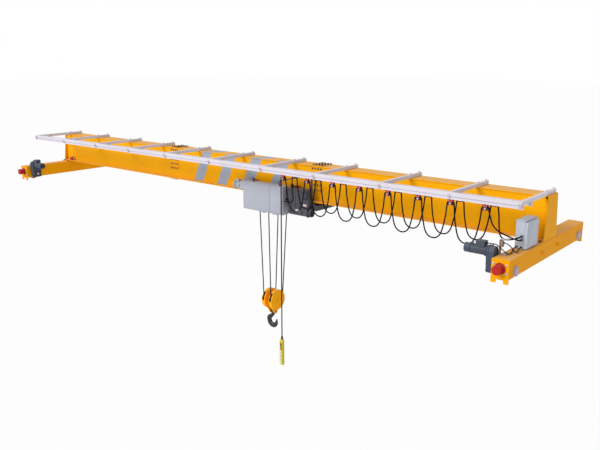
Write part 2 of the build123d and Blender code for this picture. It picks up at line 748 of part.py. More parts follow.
def festoon_beam():
    """Edge beam that joins the front ends of the arms."""
    middle = Pos(BEAM_FRONT + ARM_SIZE / 2, GIRDER_TOP + ARM_SIZE / 2)
    beam = along_x(middle * square_tube(ARM_SIZE, ARM_WALL), *BEAM_ENDS)
    cleat_z = (GIRDER_TOP - 18, GIRDER_TOP + ARM_SIZE - 14)
    for x in ARM_XS:
        beam += block((x - CLEAT_WIDTH / 2, x + CLEAT_WIDTH / 2), (BEAM_FRONT - 6, BEAM_FRONT + 1), cleat_z)
    return beam


def festoon_rail(y):
    """C-shaped runway, open below for the carrier hangers."""
    inside = RAIL_SIZE - 2 * RAIL_WALL
    slot = Pos(0, -RAIL_SIZE / 2) * Rectangle(RAIL_SLOT, 3 * RAIL_WALL)
    shape = Rectangle(RAIL_SIZE, RAIL_SIZE) - Rectangle(inside, inside) - slot
    return along_x(Pos(y, GIRDER_TOP - RAIL_SIZE / 2) * shape, *BEAM_ENDS)


def saddle(x, y):
    """Half-round block that the cable lies over."""
    radius = SADDLE_RADIUS - CABLE / 2 - CABLE_GAP
    half = Circle(radius) & Pos(0, radius / 2) * Rectangle(2 * radius, radius)
    return along_y(Pos(x, SADDLE_Z) * half, y - SADDLE_WIDTH / 2, y + SADDLE_WIDTH / 2)


def carrier_half(x, y):
    """Four rollers, hanger and saddle of one carrier."""
    body = saddle(x, y)
    side = SADDLE_WIDTH / 2
    outside = side + SADDLE_CHEEK
    top = RAIL_BOTTOM - 6
    for way in (-1, 1):
        body += block((x - 26, x + 26), (y + way * side, y + way * outside), (SADDLE_Z, top))
    body += block((x - 34, x + 34), (y - outside, y + outside), (top - HANGER, top))
    body += block((x - 34, x + 34), (y - HANGER / 2, y + HANGER / 2), (top, ROLLER_Z + 6))
    reach = HANGER / 2 + ROLLER_WIDTH
    for way in (-1, 1):
        body += rod_y(y - reach, y + reach, x + way * ROLLER_SPREAD / 2, ROLLER_Z, ROLLER / 2)
    return body


def carrier(x):
    return [carrier_half(x, FRONT_RAIL_Y), carrier_half(x, REAR_RAIL_Y)]


def end_clamp(x):
    """Fixed clamps at the cabinet end of both rails."""
    clamps = []
    heights = (ROLLER_Z, GIRDER_TOP - RAIL_WALL)
    for y in (FRONT_RAIL_Y, REAR_RAIL_Y):
        packing = block((x - 20, x + 20), (y - HANGER / 2, y + HANGER / 2), heights)
        clamps.append(carrier_half(x, y) + packing)
    return clamps


def arc_radii(points, fixed):
    """The largest arc that each corner's two runs allow, or the size of what the cable goes round."""
    radii = []
    for number in range(1, len(points) - 1):
        before = Vector(*points[number]) - Vector(*points[number - 1])
        after = Vector(*points[number + 1]) - Vector(*points[number])
        turn = math.radians(before.get_angle(after))
        largest = 0.45 * min(before.length, after.length) / math.tan(turn / 2)
        radii.append(min(largest, fixed.get(number, largest)))
    return radii


def tube(points, diameter, name, fixed=None):
    """Plain cable of straight runs and tangent arcs."""
    radii = arc_radii(points, fixed or {})
    path = FilletPolyline(*points, radius=radii) if radii else Polyline(*points)
    start = Plane(origin=points[0], z_dir=Vector(*points[1]) - Vector(*points[0]))
    cable = sweep(start * Circle(diameter / 2), path=path)
    share = cable.volume / (math.pi * diameter**2 / 4 * path.length)
    print(f"{name}: length {path.length:.0f}, volume share {share:.4f}, radii {[round(r) for r in radii]}")
    return cable


def loop_points(x, y):
    """Corner points of one festoon loop, from one saddle to the next."""
    middle = x + CARRIER_PITCH / 2
    top = CARRIER_PITCH / 2 - SADDLE_RADIUS
    shape = (
        (-top, 0),
        (-top + 22, -0.5 * LOOP_DROP),
        (-top + 88, -LOOP_DROP),
        (top - 88, -LOOP_DROP),
        (top - 22, -0.5 * LOOP_DROP),
        (top, 0),
    )
    return [(middle + dx, y, CABLE_TOP + dz) for dx, dz in shape]


def festoon_cable(y, end, name):
    """One cable over all the saddles, then on to the cabinet gland."""
    x = CARRIER_XS[0] - SADDLE_RADIUS
    points = [(x, y, SADDLE_Z - CABLE_TAIL), (x, y, CABLE_TOP)]
    fixed = {}
    for x in CARRIER_XS:
        fixed[len(points)] = SADDLE_RADIUS
        points += loop_points(x, y)
        fixed[len(points) - 1] = SADDLE_RADIUS
    fixed[len(points)] = SADDLE_RADIUS
    points.append((CLAMP_X + SADDLE_RADIUS, y, CABLE_TOP))
    return tube(points + end, CABLE, name, fixed)


def front_cable():
    x, y = CLAMP_X, FRONT_RAIL_Y
    end = [
        (x + 64, y - 1, 656),
        (x + 101, y - 3, 553),
        (x + 162, y - 1, 497),
        (x + 233, y + 3, 466),
        (x + 310, y + 5, 443),
        (x + 364, y + 26, 420),
        (x + 394, y + 70, 400),
        (gland_x(), y + 123, 385),
        (gland_x(), CABINET_Y[0] - GLAND_LENGTH, gland_heights()[0]),
    ]
    return festoon_cable(y, end, "front festoon cable")


def rear_cable():
    x, y = CLAMP_X, REAR_RAIL_Y
    end = [
        (x + 72, y - 15, 613),
        (x + 98, y - 56, 494),
        (x + 140, y - 120, 418),
        (x + 196, y - 176, 388),
        (x + 258, y - 202, 386),
        (x + 312, y - 200, 396),
        (x + 351, y - 182, 407),
        (x + 380, y - 152, 417),
        (gland_x(), y - 124, 425),
        (gland_x(), CABINET_Y[0] - GLAND_LENGTH, gland_heights()[1]),
    ]
    return festoon_cable(y, end, "rear festoon cable")


# Trolley
def trolley_plate(side):
    """Side plate with raised cheeks at the two axles and lightening holes."""
    left, right = TROLLEY_X
    first, second = WHEEL_XS
    top = AXLE_Z + CHEEK_RISE
    waist = BEAM_BOTTOM + PLATE_WAIST
    shape = outline(
        (left, BEAM_BOTTOM + 60),
        (left + 100, BEAM_BOTTOM),
        (right, BEAM_BOTTOM),
        (right, BEAM_TOP),
        (second + 2 * CHEEK_HALF, AXLE_Z + 30),
        (second + CHEEK_HALF, top),
        (second - CHEEK_HALF, top),
        (second - CHEEK_HALF - 60, waist),
        (first + CHEEK_HALF + 60, waist),
        (first + CHEEK_HALF, top),
        (first - CHEEK_HALF, top),
        (left, AXLE_Z + 40),
    )
    inner, outer = side * PLATE_IN, side * PLATE_OUT
    plate = along_y(shape, inner, outer)
    for share in (0.28, 0.5, 0.72):
        x = first + share * (second - first)
        plate -= rod_y(inner - side, outer + side, x, BEAM_BOTTOM + PLATE_WAIST / 2, PLATE_HOLE / 2)
    for x in WHEEL_XS:
        plate -= rod_y(inner - side, outer + side, x, AXLE_Z, TROLLEY_AXLE / 2 + AXLE_FIT)
    return plate


def beam_ends():
    """Left and right X of each cross beam: two hold the drum brackets, one ties the right end."""
    inner = (DRUM_X[0] - BRACKET - 4, DRUM_X[1] + BRACKET + 4)
    return (
        (inner[0] - BEAM_WIDTH, inner[0]),
        (inner[1], inner[1] + BEAM_WIDTH),
        (TROLLEY_X[1] - END_BEAM_WIDTH, TROLLEY_X[1]),
    )


def cross_beam(x0, x1):
    width = x1 - x0
    hollow = Rectangle(width - 2 * BEAM_WALL, BEAM_HEIGHT - 2 * BEAM_WALL)
    shape = Pos((x0 + x1) / 2, (BEAM_TOP + BEAM_BOTTOM) / 2) * (Rectangle(width, BEAM_HEIGHT) - hollow)
    return along_y(shape, -PLATE_IN, PLATE_IN)


def trolley_frame():
    """Side plates, cross beams, drum brackets and sheave cheeks, welded up."""
    frame = trolley_plate(-1) + trolley_plate(1)
    for x0, x1 in beam_ends():
        frame += cross_beam(x0, x1)
    for x in (beam_ends()[0][1], beam_ends()[1][0] - BRACKET):
        frame += drum_bracket(x, x + BRACKET)
    frame += sheave_cheeks()
    frame += tow_arm()
    return frame


def drum_bracket(x0, x1):
    """Hanger plate with a bearing hole for one end of the drum."""
    plate = outline(
        (PLATE_IN - 82, BEAM_BOTTOM),
        (PLATE_IN - 82, BEAM_TOP),
        (DRUM_Y + 60, BEAM_TOP),
        (DRUM_Y + 110, DRUM_Z),
        (DRUM_Y, DRUM_Z - 90),
        (DRUM_Y - 90, DRUM_Z),
    )
    return along_x(plate, x0, x1) - rod_x(x0 - 1, x1 + 1, DRUM_Y, DRUM_Z, DRUM_JOURNAL / 2)


def sheave_cheeks():
    """Two cheeks and a tie that carry the return sheave."""
    y = FALL_Y[0]
    top = BEAM_TOP - 10
    tie = (beam_ends()[0][1], beam_ends()[1][0])
    cheeks = block(tie, (y - 26, y + 26), (top, BEAM_TOP))
    shape = outline(
        (HOIST_X - 90, top),
        (HOIST_X + 90, top),
        (HOIST_X + SHEAVE_PIN, DRUM_Z - SHEAVE_PIN),
        (HOIST_X - SHEAVE_PIN, DRUM_Z - SHEAVE_PIN),
    )
    for way in (-1, 1):
        cheeks += along_y(shape, y + way * 20, y + way * 26)
    return cheeks + rod_y(y - 26, y + 26, HOIST_X, DRUM_Z, SHEAVE_PIN / 2)


def return_sheave():
    """Grooved return sheave on the near side."""
    place = Location((HOIST_X, FALL_Y[0], DRUM_Z), (90, 0, 0))
    return grooved_wheel(FALL_SPREAD / 2, 30, SHEAVE_PIN / 2 + AXLE_FIT, place)


def grooved_wheel(rope_radius, width, bore, place):
    """Rope sheave with a round-bottomed groove, turned about its own Z."""
    outer = rope_radius + ROPE * 0.8
    groove = ROPE / 2 + ROPE_GROOVE_GAP
    bottom = rope_radius - groove
    half = width / 2
    low, high = (bottom + groove, -groove), (bottom + groove, groove)
    edges = Polyline((bore, -half), (outer, -half), (outer, -groove - 2), low)
    edges += ThreePointArc(low, (bottom, 0), high)
    edges += Polyline(high, (outer, groove + 2), (outer, half), (bore, half), (bore, -half))
    wheel = revolve(Plane.XZ * make_face(edges), axis=Axis.Z)
    for x, y in ring_places(5, 0.58 * rope_radius):
        wheel -= rod_z(-half - 1, half + 1, x, y, 0.2 * rope_radius)
    return place * wheel


def tow_arm():
    """Flat bar that reaches out to the first cable carriers."""
    x = (CARRIER_XS[0] - TOW_BAR / 2, CARRIER_XS[0] + TOW_BAR / 2)
    y = (-PLATE_IN, -PLATE_IN + TOW_BAR_THICKNESS)
    z = SADDLE_Z - TOW_CLEARANCE
    arm = block(x, y, (BEAM_TOP, z))
    return arm + block(x, (FRONT_RAIL_Y - 20, y[1]), (z - TOW_BAR_THICKNESS, z))


def rope_drum():
    """Drum with two grooved zones and end flanges."""
    x0, x1 = DRUM_X
    radius = DRUM_DIAMETER / 2
    groove = ROPE / 2 + ROPE_GROOVE_GAP
    drum = rod_x(x0, x1, DRUM_Y, DRUM_Z, radius - groove + 3)
    for x in (x0, x1 - DRUM_FLANGE):
        drum += rod_x(x, x + DRUM_FLANGE, DRUM_Y, DRUM_Z, radius + 8)
    for middle in (HOIST_X - FALL_SPREAD / 2, HOIST_X + FALL_SPREAD / 2):
        for number in range(GROOVE_TURNS):
            x = middle + GROOVE_PITCH * (number - (GROOVE_TURNS - 1) / 2)
            ring = revolve(Plane.XY * Pos(x, radius) * Circle(groove), axis=Axis.X)
            drum -= Pos(0, DRUM_Y, DRUM_Z) * ring
    journal = DRUM_JOURNAL / 2 - JOURNAL_FIT
    return drum + rod_x(x0 - JOURNAL_LENGTH, x1 + JOURNAL_LENGTH, DRUM_Y, DRUM_Z, journal)


def hoist_gearbox():
    """Rounded gear case on the right end of the drum."""
    x0 = DRUM_X[1] + JOURNAL_LENGTH
    x1 = x0 + GEARBOX_LENGTH
    case = along_x(Pos(DRUM_Y, DRUM_Z) * RectangleRounded(260, 270, 60), x0, x1)
    case = fillet(case.edges().group_by(Axis.X)[-1], 20)
    return case + rod_x(x1, x1 + 8, DRUM_Y, DRUM_Z, 70)


def hoist_motor():
    """Finned hoist motor on the left end of the drum."""
    x1 = DRUM_X[0] - JOURNAL_LENGTH
    x0 = x1 - HOIST_MOTOR_LENGTH
    motor = rod_x(x0, x1, DRUM_Y, DRUM_Z, 92)
    motor += rod_x(x1 - 18, x1, DRUM_Y, DRUM_Z, 120)
    motor += rod_x(x0, x0 + 80, DRUM_Y, DRUM_Z, 102)
    fin = block((x0 + 95, x1 - 30), (-2.5, 2.5), (0, 102))
    for number in range(24):
        motor += Location((0, DRUM_Y, DRUM_Z), (number * 15, 0, 0)) * fin
    return motor


def hoist_panel():
    """Sheet-metal control box on the near side plate."""
    x0, x1 = PANEL_X
    z0, z1 = PANEL_Z
    box = block((x0, x1), (PANEL_FRONT, -PLATE_OUT), (z0, z1))
    box = fillet(box.edges().group_by(Axis.Y)[0], 8)
    seam = block((x0 - 1, x1 + 1), (PANEL_FRONT + 40, PANEL_FRONT + 43), (z0 - 1, z1 + 1))
    seam -= block((x0 + 2, x1 - 2), (PANEL_FRONT + 39, PANEL_FRONT + 44), (z0 + 2, z1 - 2))
    box -= seam
    end = x1 + FEED_GLAND_LENGTH
    box += rod_x(x1, end, FEED_GLAND_Y, FEED_GLAND_Z, GLAND / 2)
    return box - rod_x(x1 + 2, end + 1, FEED_GLAND_Y, FEED_GLAND_Z, CABLE / 2 + CABLE_GAP)


def counterweight():
    """Cast balance block with a lifting eye and a rubber bumper."""
    x0, x1 = WEIGHT_X
    z0, z1 = WEIGHT_Z
    y1 = -PLATE_OUT
    weight = block((x0, x1), (y1 - WEIGHT_DEPTH, y1), (z0, z1))
    weight = chamfer(weight.edges().filter_by(Axis.Y), WEIGHT_CORNER)
    weight = fillet(weight.edges().group_by(Axis.Y)[0], 10)
    eye = (x0 + 60, z1 + 22)
    weight += rod_y(y1 - 60, y1 - 40, *eye, EYE_RADIUS)
    weight -= rod_y(y1 - 61, y1 - 39, *eye, EYE_HOLE / 2)
    return weight + rod_x(x1, x1 + BUMPER_LENGTH, y1 - BUMPER / 2, z0 + BUMPER / 2, BUMPER / 2)


def trolley_drive():
    """Silver travel motor and its gear case at the left end."""
    x = HOIST_X - DRIVE_LEFT
    y = -PLATE_OUT - 72
    case_y = (-PLATE_OUT - DRIVE_DEPTH, -PLATE_OUT)
    drive = block((x, x + DRIVE_CASE), case_y, (AXLE_Z - 70, AXLE_Z + 70))
    drive = fillet(drive.edges().filter_by(Axis.X), 24)
    drive += rod_x(x - 17, x, y, AXLE_Z, DRIVE_MOTOR / 2 - 2)
    end = x - 17 - DRIVE_MOTOR_LENGTH
    drive += rod_x(end, x - 17, y, AXLE_Z, DRIVE_MOTOR / 2)
    drive += rod_x(end, end + 26, y, AXLE_Z, DRIVE_MOTOR_COWL / 2)
    return drive + rod_x(end - 10, end, y, AXLE_Z, DRIVE_MOTOR / 2 - 8)


def trolley_wheel(side, x):
    """Flanged trolley wheel with its stub axle."""
    rim = side * (FLANGE_HALF + TROLLEY_RIM_GAP)
    inner = rim - side * TROLLEY_WHEEL_WIDTH
    recess = rim - side * WHEEL_DISH
    wheel = rod_y(inner, rim, x, AXLE_Z, TROLLEY_WHEEL / 2)
    wheel -= rod_y(recess, rim, x, AXLE_Z, 60) - rod_y(recess, rim, x, AXLE_Z, 34)
    wheel += rod_y(rim, rim + side * (TROLLEY_RIM_WIDTH - 2), x, AXLE_Z, TROLLEY_RIM / 2)
    return wheel + rod_y(rim, side * (PLATE_OUT - 1), x, AXLE_Z, TROLLEY_AXLE / 2)


def end_stop(side, way):
    """Bolted stop block with a pin on the girder flange."""
    x = side * (GIRDER_LENGTH / 2 - STOP_SETBACK)
    y0, y1 = way * (WEB_FOOT_HALF + 6), way * FLANGE_HALF
    half = STOP_LENGTH / 2
    face = x - side * half
    middle = FLANGE_TOP + STOP_HEIGHT / 2
    stop = block((x - half, x + half), (y0, y1), (FLANGE_TOP, FLANGE_TOP + STOP_HEIGHT))
    return stop + rod_x(face, face - side * STOP_PIN, (y0 + y1) / 2, middle, STOP_PIN / 2)


# Hook block and ropes
def falls():
    """Four taut rope falls between the hoist and the block sheaves."""
    ropes = []
    for way in (-1, 1):
        x_top = HOIST_X + way * FALL_SPREAD / 2
        x_low = HOIST_X + way * SHEAVE_SPREAD / 2
        for y_top, y_low in zip(FALL_Y, (-SHEAVE_ROPE_RADIUS, SHEAVE_ROPE_RADIUS)):
            start = Vector(x_top, y_top, DRUM_Z)
            run = Vector(x_low, y_low, BLOCK_Z) - start
            ropes.append(extrude(Plane(origin=start, z_dir=run) * Circle(ROPE / 2), amount=run.length))
    return ropes


def sheave_housing(way):
    """Round housing, hollow and slotted, with a foot plate down to the crosshead."""
    x = HOIST_X + way * SHEAVE_SPREAD / 2
    outer = x + way * COVER_WIDTH / 2
    inside = COVER_WIDTH / 2 - COVER_WALL
    shell = rod_x(x - COVER_WIDTH / 2, x + COVER_WIDTH / 2, 0, BLOCK_Z, BLOCK_RADIUS)
    shell = fillet(shell.edges().filter_by(GeomType.CIRCLE), COVER_EDGE)
    shell -= rod_x(x - inside, x + inside, 0, BLOCK_Z, BLOCK_RADIUS - COVER_WALL)
    for side in (-1, 1):
        slot_y = (side * (SHEAVE_ROPE_RADIUS - 2 * ROPE), side * (BLOCK_RADIUS + 1))
        shell -= block((x - ROPE - 1, x + ROPE + 1), slot_y, (BLOCK_Z - 4, BLOCK_Z + BLOCK_RADIUS))
    shell += rod_x(outer, outer + way * COVER_BOSS_THICKNESS, 0, BLOCK_Z, COVER_BOSS / 2)
    return shell + yoke_plate(way)


def yoke_plate(way):
    """Inner wall of a housing, drawn down to the eye that carries the crosshead."""
    face = HOIST_X + way * (SHEAVE_SPREAD - COVER_WIDTH) / 2
    back = face + way * YOKE_PLATE
    eye = Pos(0, HOOK_SEAT + YOKE_FOOT_RISE)
    outline = Pos(0, BLOCK_Z) * Circle(BLOCK_RADIUS - COVER_EDGE) + eye * Circle(YOKE_FOOT)
    plate = along_x(make_hull(outline.edges()), min(face, back), max(face, back))
    hole = YOKE_TRUNNION / 2 + AXLE_FIT
    return plate - rod_x(min(face, back) - 1, max(face, back) + 1, 0, HOOK_SEAT + YOKE_FOOT_RISE, hole)


def block_covers():
    """Twin sheave housings, held apart by a drum round the pin and bored for it."""
    covers = sheave_housing(-1) + sheave_housing(1)
    half = (SHEAVE_SPREAD - COVER_WIDTH) / 2 + 1
    covers += rod_x(HOIST_X - half, HOIST_X + half, 0, BLOCK_Z, YOKE_CORE)
    end = pin_reach() + AXLE_END_GAP
    return covers - rod_x(HOIST_X - end, HOIST_X + end, 0, BLOCK_Z, BLOCK_PIN / 2 + JOURNAL_FIT)


def pin_reach():
    return SHEAVE_SPREAD / 2 + COVER_WIDTH / 2


def block_sheaves():
    """Pair of grooved sheaves inside the covers."""
    sheaves = []
    for way in (-1, 1):
        place = Location((HOIST_X + way * SHEAVE_SPREAD / 2, 0, BLOCK_Z), (0, 90, 0))
        sheaves.append(grooved_wheel(SHEAVE_ROPE_RADIUS, 34, BLOCK_PIN / 2 + AXLE_FIT, place))
    return sheaves


def crosshead():
    """Sheave pin, and the bored crosshead that turns between the yoke plates."""
    pin = rod_x(HOIST_X - pin_reach(), HOIST_X + pin_reach(), 0, BLOCK_Z, BLOCK_PIN / 2)
    middle = HOOK_SEAT + YOKE_FOOT_RISE
    end = (SHEAVE_SPREAD - COVER_WIDTH) / 2 + YOKE_PLATE
    half = CROSSHEAD_HEIGHT / 2
    head = rod_x(HOIST_X - end, HOIST_X + end, 0, middle, YOKE_TRUNNION / 2)
    head += rod_z(middle - half, middle + half, HOIST_X, 0, CROSSHEAD / 2)
    bore = rod_z(middle - half - 1, middle + half + 1, HOIST_X, 0, HOOK_SHANK / 2 + AXLE_FIT)
    return [pin, head - bore]


def hook_section(centre, way, half, flat=0.66):
    """Upright oval section of the hook, square to the way that the bar runs."""
    place = Vector(HOIST_X + centre[0], 0, HOOK_SEAT + centre[1])
    outward = (way[1], 0, -way[0])
    return Plane(origin=place, x_dir=outward, z_dir=(way[0], 0, way[1])) * Ellipse(half, half * flat)


def hook():
    """Forged point hook: a tapering bar carried from the neck round the bowl to the tip."""
    turns = (152, 180, 215, 250, 285, 320, 350, 372, 388)
    halves = (44, 48, 49, 48, 44, 35, 25, 16, 6)
    insides = (54, 48, 47, 46, 46, 46, 50, 60, 84)
    radius = HOOK_SHANK / 2
    bar = [
        hook_section((0, -8), (0, -1), radius, 1),
        hook_section((-6, -24), (-0.39, -0.92), radius + 1, 0.94),
        hook_section((-29, -47), (-0.68, -0.73), radius + 5, 0.85),
        hook_section((-58, -71), (-0.68, -0.73), radius + 10, 0.76),
    ]
    for turn, half, inside in zip(turns, halves, insides):
        sine, cosine = math.sin(math.radians(turn)), math.cos(math.radians(turn))
        centre = ((inside + half) * cosine, (inside + half) * sine - HOOK_BOWL_DROP)
        bar.append(hook_section(centre, (-sine, cosine), half))
    shank = rod_z(HOOK_SEAT - 8, HOOK_SEAT + YOKE_FOOT_RISE + CROSSHEAD_HEIGHT / 2, HOIST_X, 0, radius)
    return loft(bar) + shank


# Pendant
def pendant_place():
    return (CARRIER_XS[0] - SADDLE_RADIUS, FRONT_RAIL_Y)


def pendant_housing():
    """Moulded push-button housing with a low shoulder up to the cable."""
    place = Pos(*pendant_place())
    shoulder = PENDANT_TOP - PENDANT_SHOULDER
    section = place * RectangleRounded(PENDANT_WIDTH, PENDANT_DEPTH, PENDANT_CORNER)
    crown = place * RectangleRounded(PENDANT_WIDTH - 24, PENDANT_DEPTH - 16, PENDANT_CORNER - 2)
    case = along_z(section, PENDANT_TOP - PENDANT_HEIGHT, shoulder)
    case = fillet(case.edges().group_by(Axis.Z)[0], 8)
    case += loft([Plane.XY.offset(shoulder) * section, Plane.XY.offset(PENDANT_TOP) * crown])
    return case - rod_z(PENDANT_TOP - 30, PENDANT_TOP + 1, *pendant_place(), CABLE / 2 + CABLE_GAP)


def pendant_buttons():
    x, y = pendant_place()
    face = y - PENDANT_DEPTH / 2
    heights = [PENDANT_TOP - 76 - number * BUTTON_PITCH for number in range(BUTTON_COUNT)]
    return [rod_y(face - 9, face, x, z, BUTTON / 2) for z in heights]


def pendant_cable():
    x, y = pendant_place()
    return tube([(x, y, SADDLE_Z - CABLE_TAIL), (x, y, PENDANT_TOP - 28)], CABLE, "pendant cable")


def feed_cable():
    """Cable from the rear carrier into the side of the hoist panel."""
    x, y = CARRIER_XS[0] - SADDLE_RADIUS, REAR_RAIL_Y
    points = [
        (x, y, SADDLE_Z - CABLE_TAIL),
        (x, y, 560),
        (x - 14, y + 28, 445),
        (x - 58, y + 95, 350),
        (x - 140, y + 168, 288),
        (x - 238, y + 228, 256),
        (x - 330, FEED_GLAND_Y, FEED_GLAND_Z),
        (PANEL_X[1] + FEED_GLAND_LENGTH, FEED_GLAND_Y, FEED_GLAND_Z),
    ]
    return tube(points, CABLE, "hoist feed cable")


def drive_cables():
    """Leads from the right travel motor and the limit switch to the cabinet."""
    x = SPAN / 2
    motor_y = -WHEEL_BASE / 2 - GEARCASE_SHIFT
    motor_z = WHEEL_CENTRE + GEARCASE_RISE + TRAVEL_MOTOR_DIAMETER / 2 + 30
    end = CABINET_Y[0] - LEAD_GLAND_LENGTH
    first_x, second_x = lead_gland_xs()
    first = [
        (GEARCASE_X - 30, motor_y + 10, motor_z),
        (x - 188, motor_y + 10, motor_z),
        (x - 122, motor_y, 386),
        (x - 62, motor_y - 4, 348),
        (x - 20, -1078, 300),
        (x + 4, -1030, 273),
        (x + 4, -965, 266),
        (x - 12, -895, 267),
        (x - 32, -830, 277),
        (first_x, -772, 291),
        (first_x, end, lead_gland_z()),
    ]
    switch_x, switch_y = post_place()
    second = [
        (switch_x + 22, switch_y, 400),
        (x - 22, switch_y, 400),
        (x + 18, -1022, 368),
        (x + 38, -985, 316),
        (x + 42, -925, 277),
        (x + 38, -862, 268),
        (x + 29, -806, 277),
        (second_x, -763, lead_gland_z()),
        (second_x, end, lead_gland_z()),
    ]
    return [tube(first, LEAD, "motor lead"), tube(second, LEAD, "switch lead")]


def save_bridge():
    half = GIRDER_LENGTH / 2 - CLOSING_PLATE
    save("girder_left", girder_section(-half, -SPLICE_X))
    save("girder_middle", girder_section(-SPLICE_X, SPLICE_X))
    save("girder_right", girder_section(SPLICE_X, half))
    save("girder_closing_plates", [closing_plate(-1), closing_plate(1)])
    save("girder_splices", splice(-1) + splice(1))
    save("trolley_stops", [end_stop(side, way) for side in (-1, 1) for way in (-1, 1)])
    for side, name in ((-1, "left"), (1, "right")):
        save(f"end_truck_{name}", [truck_frame(side), girder_seat(side)])
        for way, place in ((-1, "near"), (1, "far")):
            save(f"bridge_wheel_{name}_{place}", bridge_wheel(side, way))
    save("truck_buffers", [buffer(side, way) for side in (-1, 1) for way in (-1, 1)])
    covers = [hub_cover(side, way, side) for side in (-1, 1) for way in (-1, 1)]
    covers += [hub_cover(side, 1, -side) for side in (-1, 1)]
    save("hub_covers", covers)
    save("travel_gearcases", [gearcase(-1), gearcase(1)])
    save("travel_motors", [travel_motor(-1), travel_motor(1)])


def save_controls():
    save("limit_switch_post", limit_post())
    save("cabinet_body", cabinet_body())
    save("cabinet_fittings", cabinet_fittings())
    save("cabinet_door", cabinet_door())
    save("drive_cables", drive_cables())
    save("pendant_housing", pendant_housing())
    save("pendant_buttons", pendant_buttons())
    save("pendant_cable", pendant_cable())


def save_festoon():
    save("festoon_arms", festoon_arms())
    save("festoon_beam", festoon_beam())
    save("festoon_rails", [festoon_rail(FRONT_RAIL_Y), festoon_rail(REAR_RAIL_Y)])
    save("festoon_clamps", end_clamp(CLAMP_X))
    for number, x in enumerate(CARRIER_XS):
        save(f"festoon_carrier_{number}", carrier(x))
    save("festoon_cable_front", front_cable())
    save("festoon_cable_rear", rear_cable())
    save("hoist_feed_cable", feed_cable())


def save_trolley():
    save("trolley_frame", trolley_frame())
    for number, x in enumerate(WHEEL_XS):
        for side, place in ((-1, "near"), (1, "far")):
            save(f"trolley_wheel_{place}_{number}", trolley_wheel(side, x))
    save("trolley_drive", trolley_drive())
    save("hoist_panel", hoist_panel())
    save("counterweight", counterweight())
    save("rope_drum", rope_drum())
    save("hoist_gearbox", hoist_gearbox())
    save("hoist_motor", hoist_motor())
    save("return_sheave", return_sheave())


def save_hook_block():
    save("hoist_ropes", falls())
    save("block_covers", block_covers())
    save("block_sheaves", block_sheaves())
    save("block_crosshead", crosshead())
    save("hook", hook())


def main():
    os.makedirs("parts", exist_ok=True)
    save_bridge()
    save_controls()
    save_festoon()
    save_trolley()
    save_hook_block()


main()
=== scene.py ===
import logging
import math
from dataclasses import dataclass
from enum import Enum
from typing import Callable, Sequence

import bpy
from mathutils import Matrix, Vector


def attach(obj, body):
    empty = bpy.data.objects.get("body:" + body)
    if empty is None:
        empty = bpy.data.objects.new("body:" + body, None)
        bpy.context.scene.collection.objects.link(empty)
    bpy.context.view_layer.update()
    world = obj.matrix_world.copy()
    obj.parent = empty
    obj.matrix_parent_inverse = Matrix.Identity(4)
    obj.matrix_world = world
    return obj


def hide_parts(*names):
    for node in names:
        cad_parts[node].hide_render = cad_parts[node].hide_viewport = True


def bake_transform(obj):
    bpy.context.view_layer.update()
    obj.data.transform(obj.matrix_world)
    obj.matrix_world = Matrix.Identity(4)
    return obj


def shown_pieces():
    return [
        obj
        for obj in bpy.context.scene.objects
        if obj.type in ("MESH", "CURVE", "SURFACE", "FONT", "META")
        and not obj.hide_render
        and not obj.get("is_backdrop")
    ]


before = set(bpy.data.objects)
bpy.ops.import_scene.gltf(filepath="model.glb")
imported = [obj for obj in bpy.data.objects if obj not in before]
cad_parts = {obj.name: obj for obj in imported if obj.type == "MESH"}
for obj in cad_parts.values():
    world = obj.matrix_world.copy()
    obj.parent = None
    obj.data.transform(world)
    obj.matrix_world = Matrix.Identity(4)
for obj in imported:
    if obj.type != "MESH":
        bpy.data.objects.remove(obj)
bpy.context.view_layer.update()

LOG = logging.getLogger("crane")
Point = tuple[float, float, float]
Colour = tuple[float, float, float, float]
Object = bpy.types.Object
Socket = bpy.types.NodeSocket
Place = tuple[Point, Point]
Outline = tuple[tuple[float, float], ...]
Chooser = Callable[[bpy.types.MeshPolygon], bool]
UP, DOWN = (0, 0, 1), (0, 0, -1)
NEAR, FAR = (0, -1, 0), (0, 1, 0)
ALONG, BACK = (1, 0, 0), (-1, 0, 0)
SIDES = (-1, 1)
CORNERS = ((-1, -1), (-1, 1), (1, -1), (1, 1))
SAME_WAY = 0.9
SAME_PLACE = 1e-4
TOUCHING = 1e-5


def paint_colour(red: int, green: int, blue: int) -> Colour:
    """Turn a colour chip into the values that a shader takes.

    Args:
        red: Red of the chip, 0 to 255.
        green: Green of the chip, 0 to 255.
        blue: Blue of the chip, 0 to 255.

    Returns:
        The colour as four scene-linear values.
    """
    values = []
    for channel in (red, green, blue):
        share = channel / 255
        values.append(share / 12.92 if share <= 0.04045 else ((share + 0.055) / 1.055) ** 2.4)
    return (values[0], values[1], values[2], 1.0)


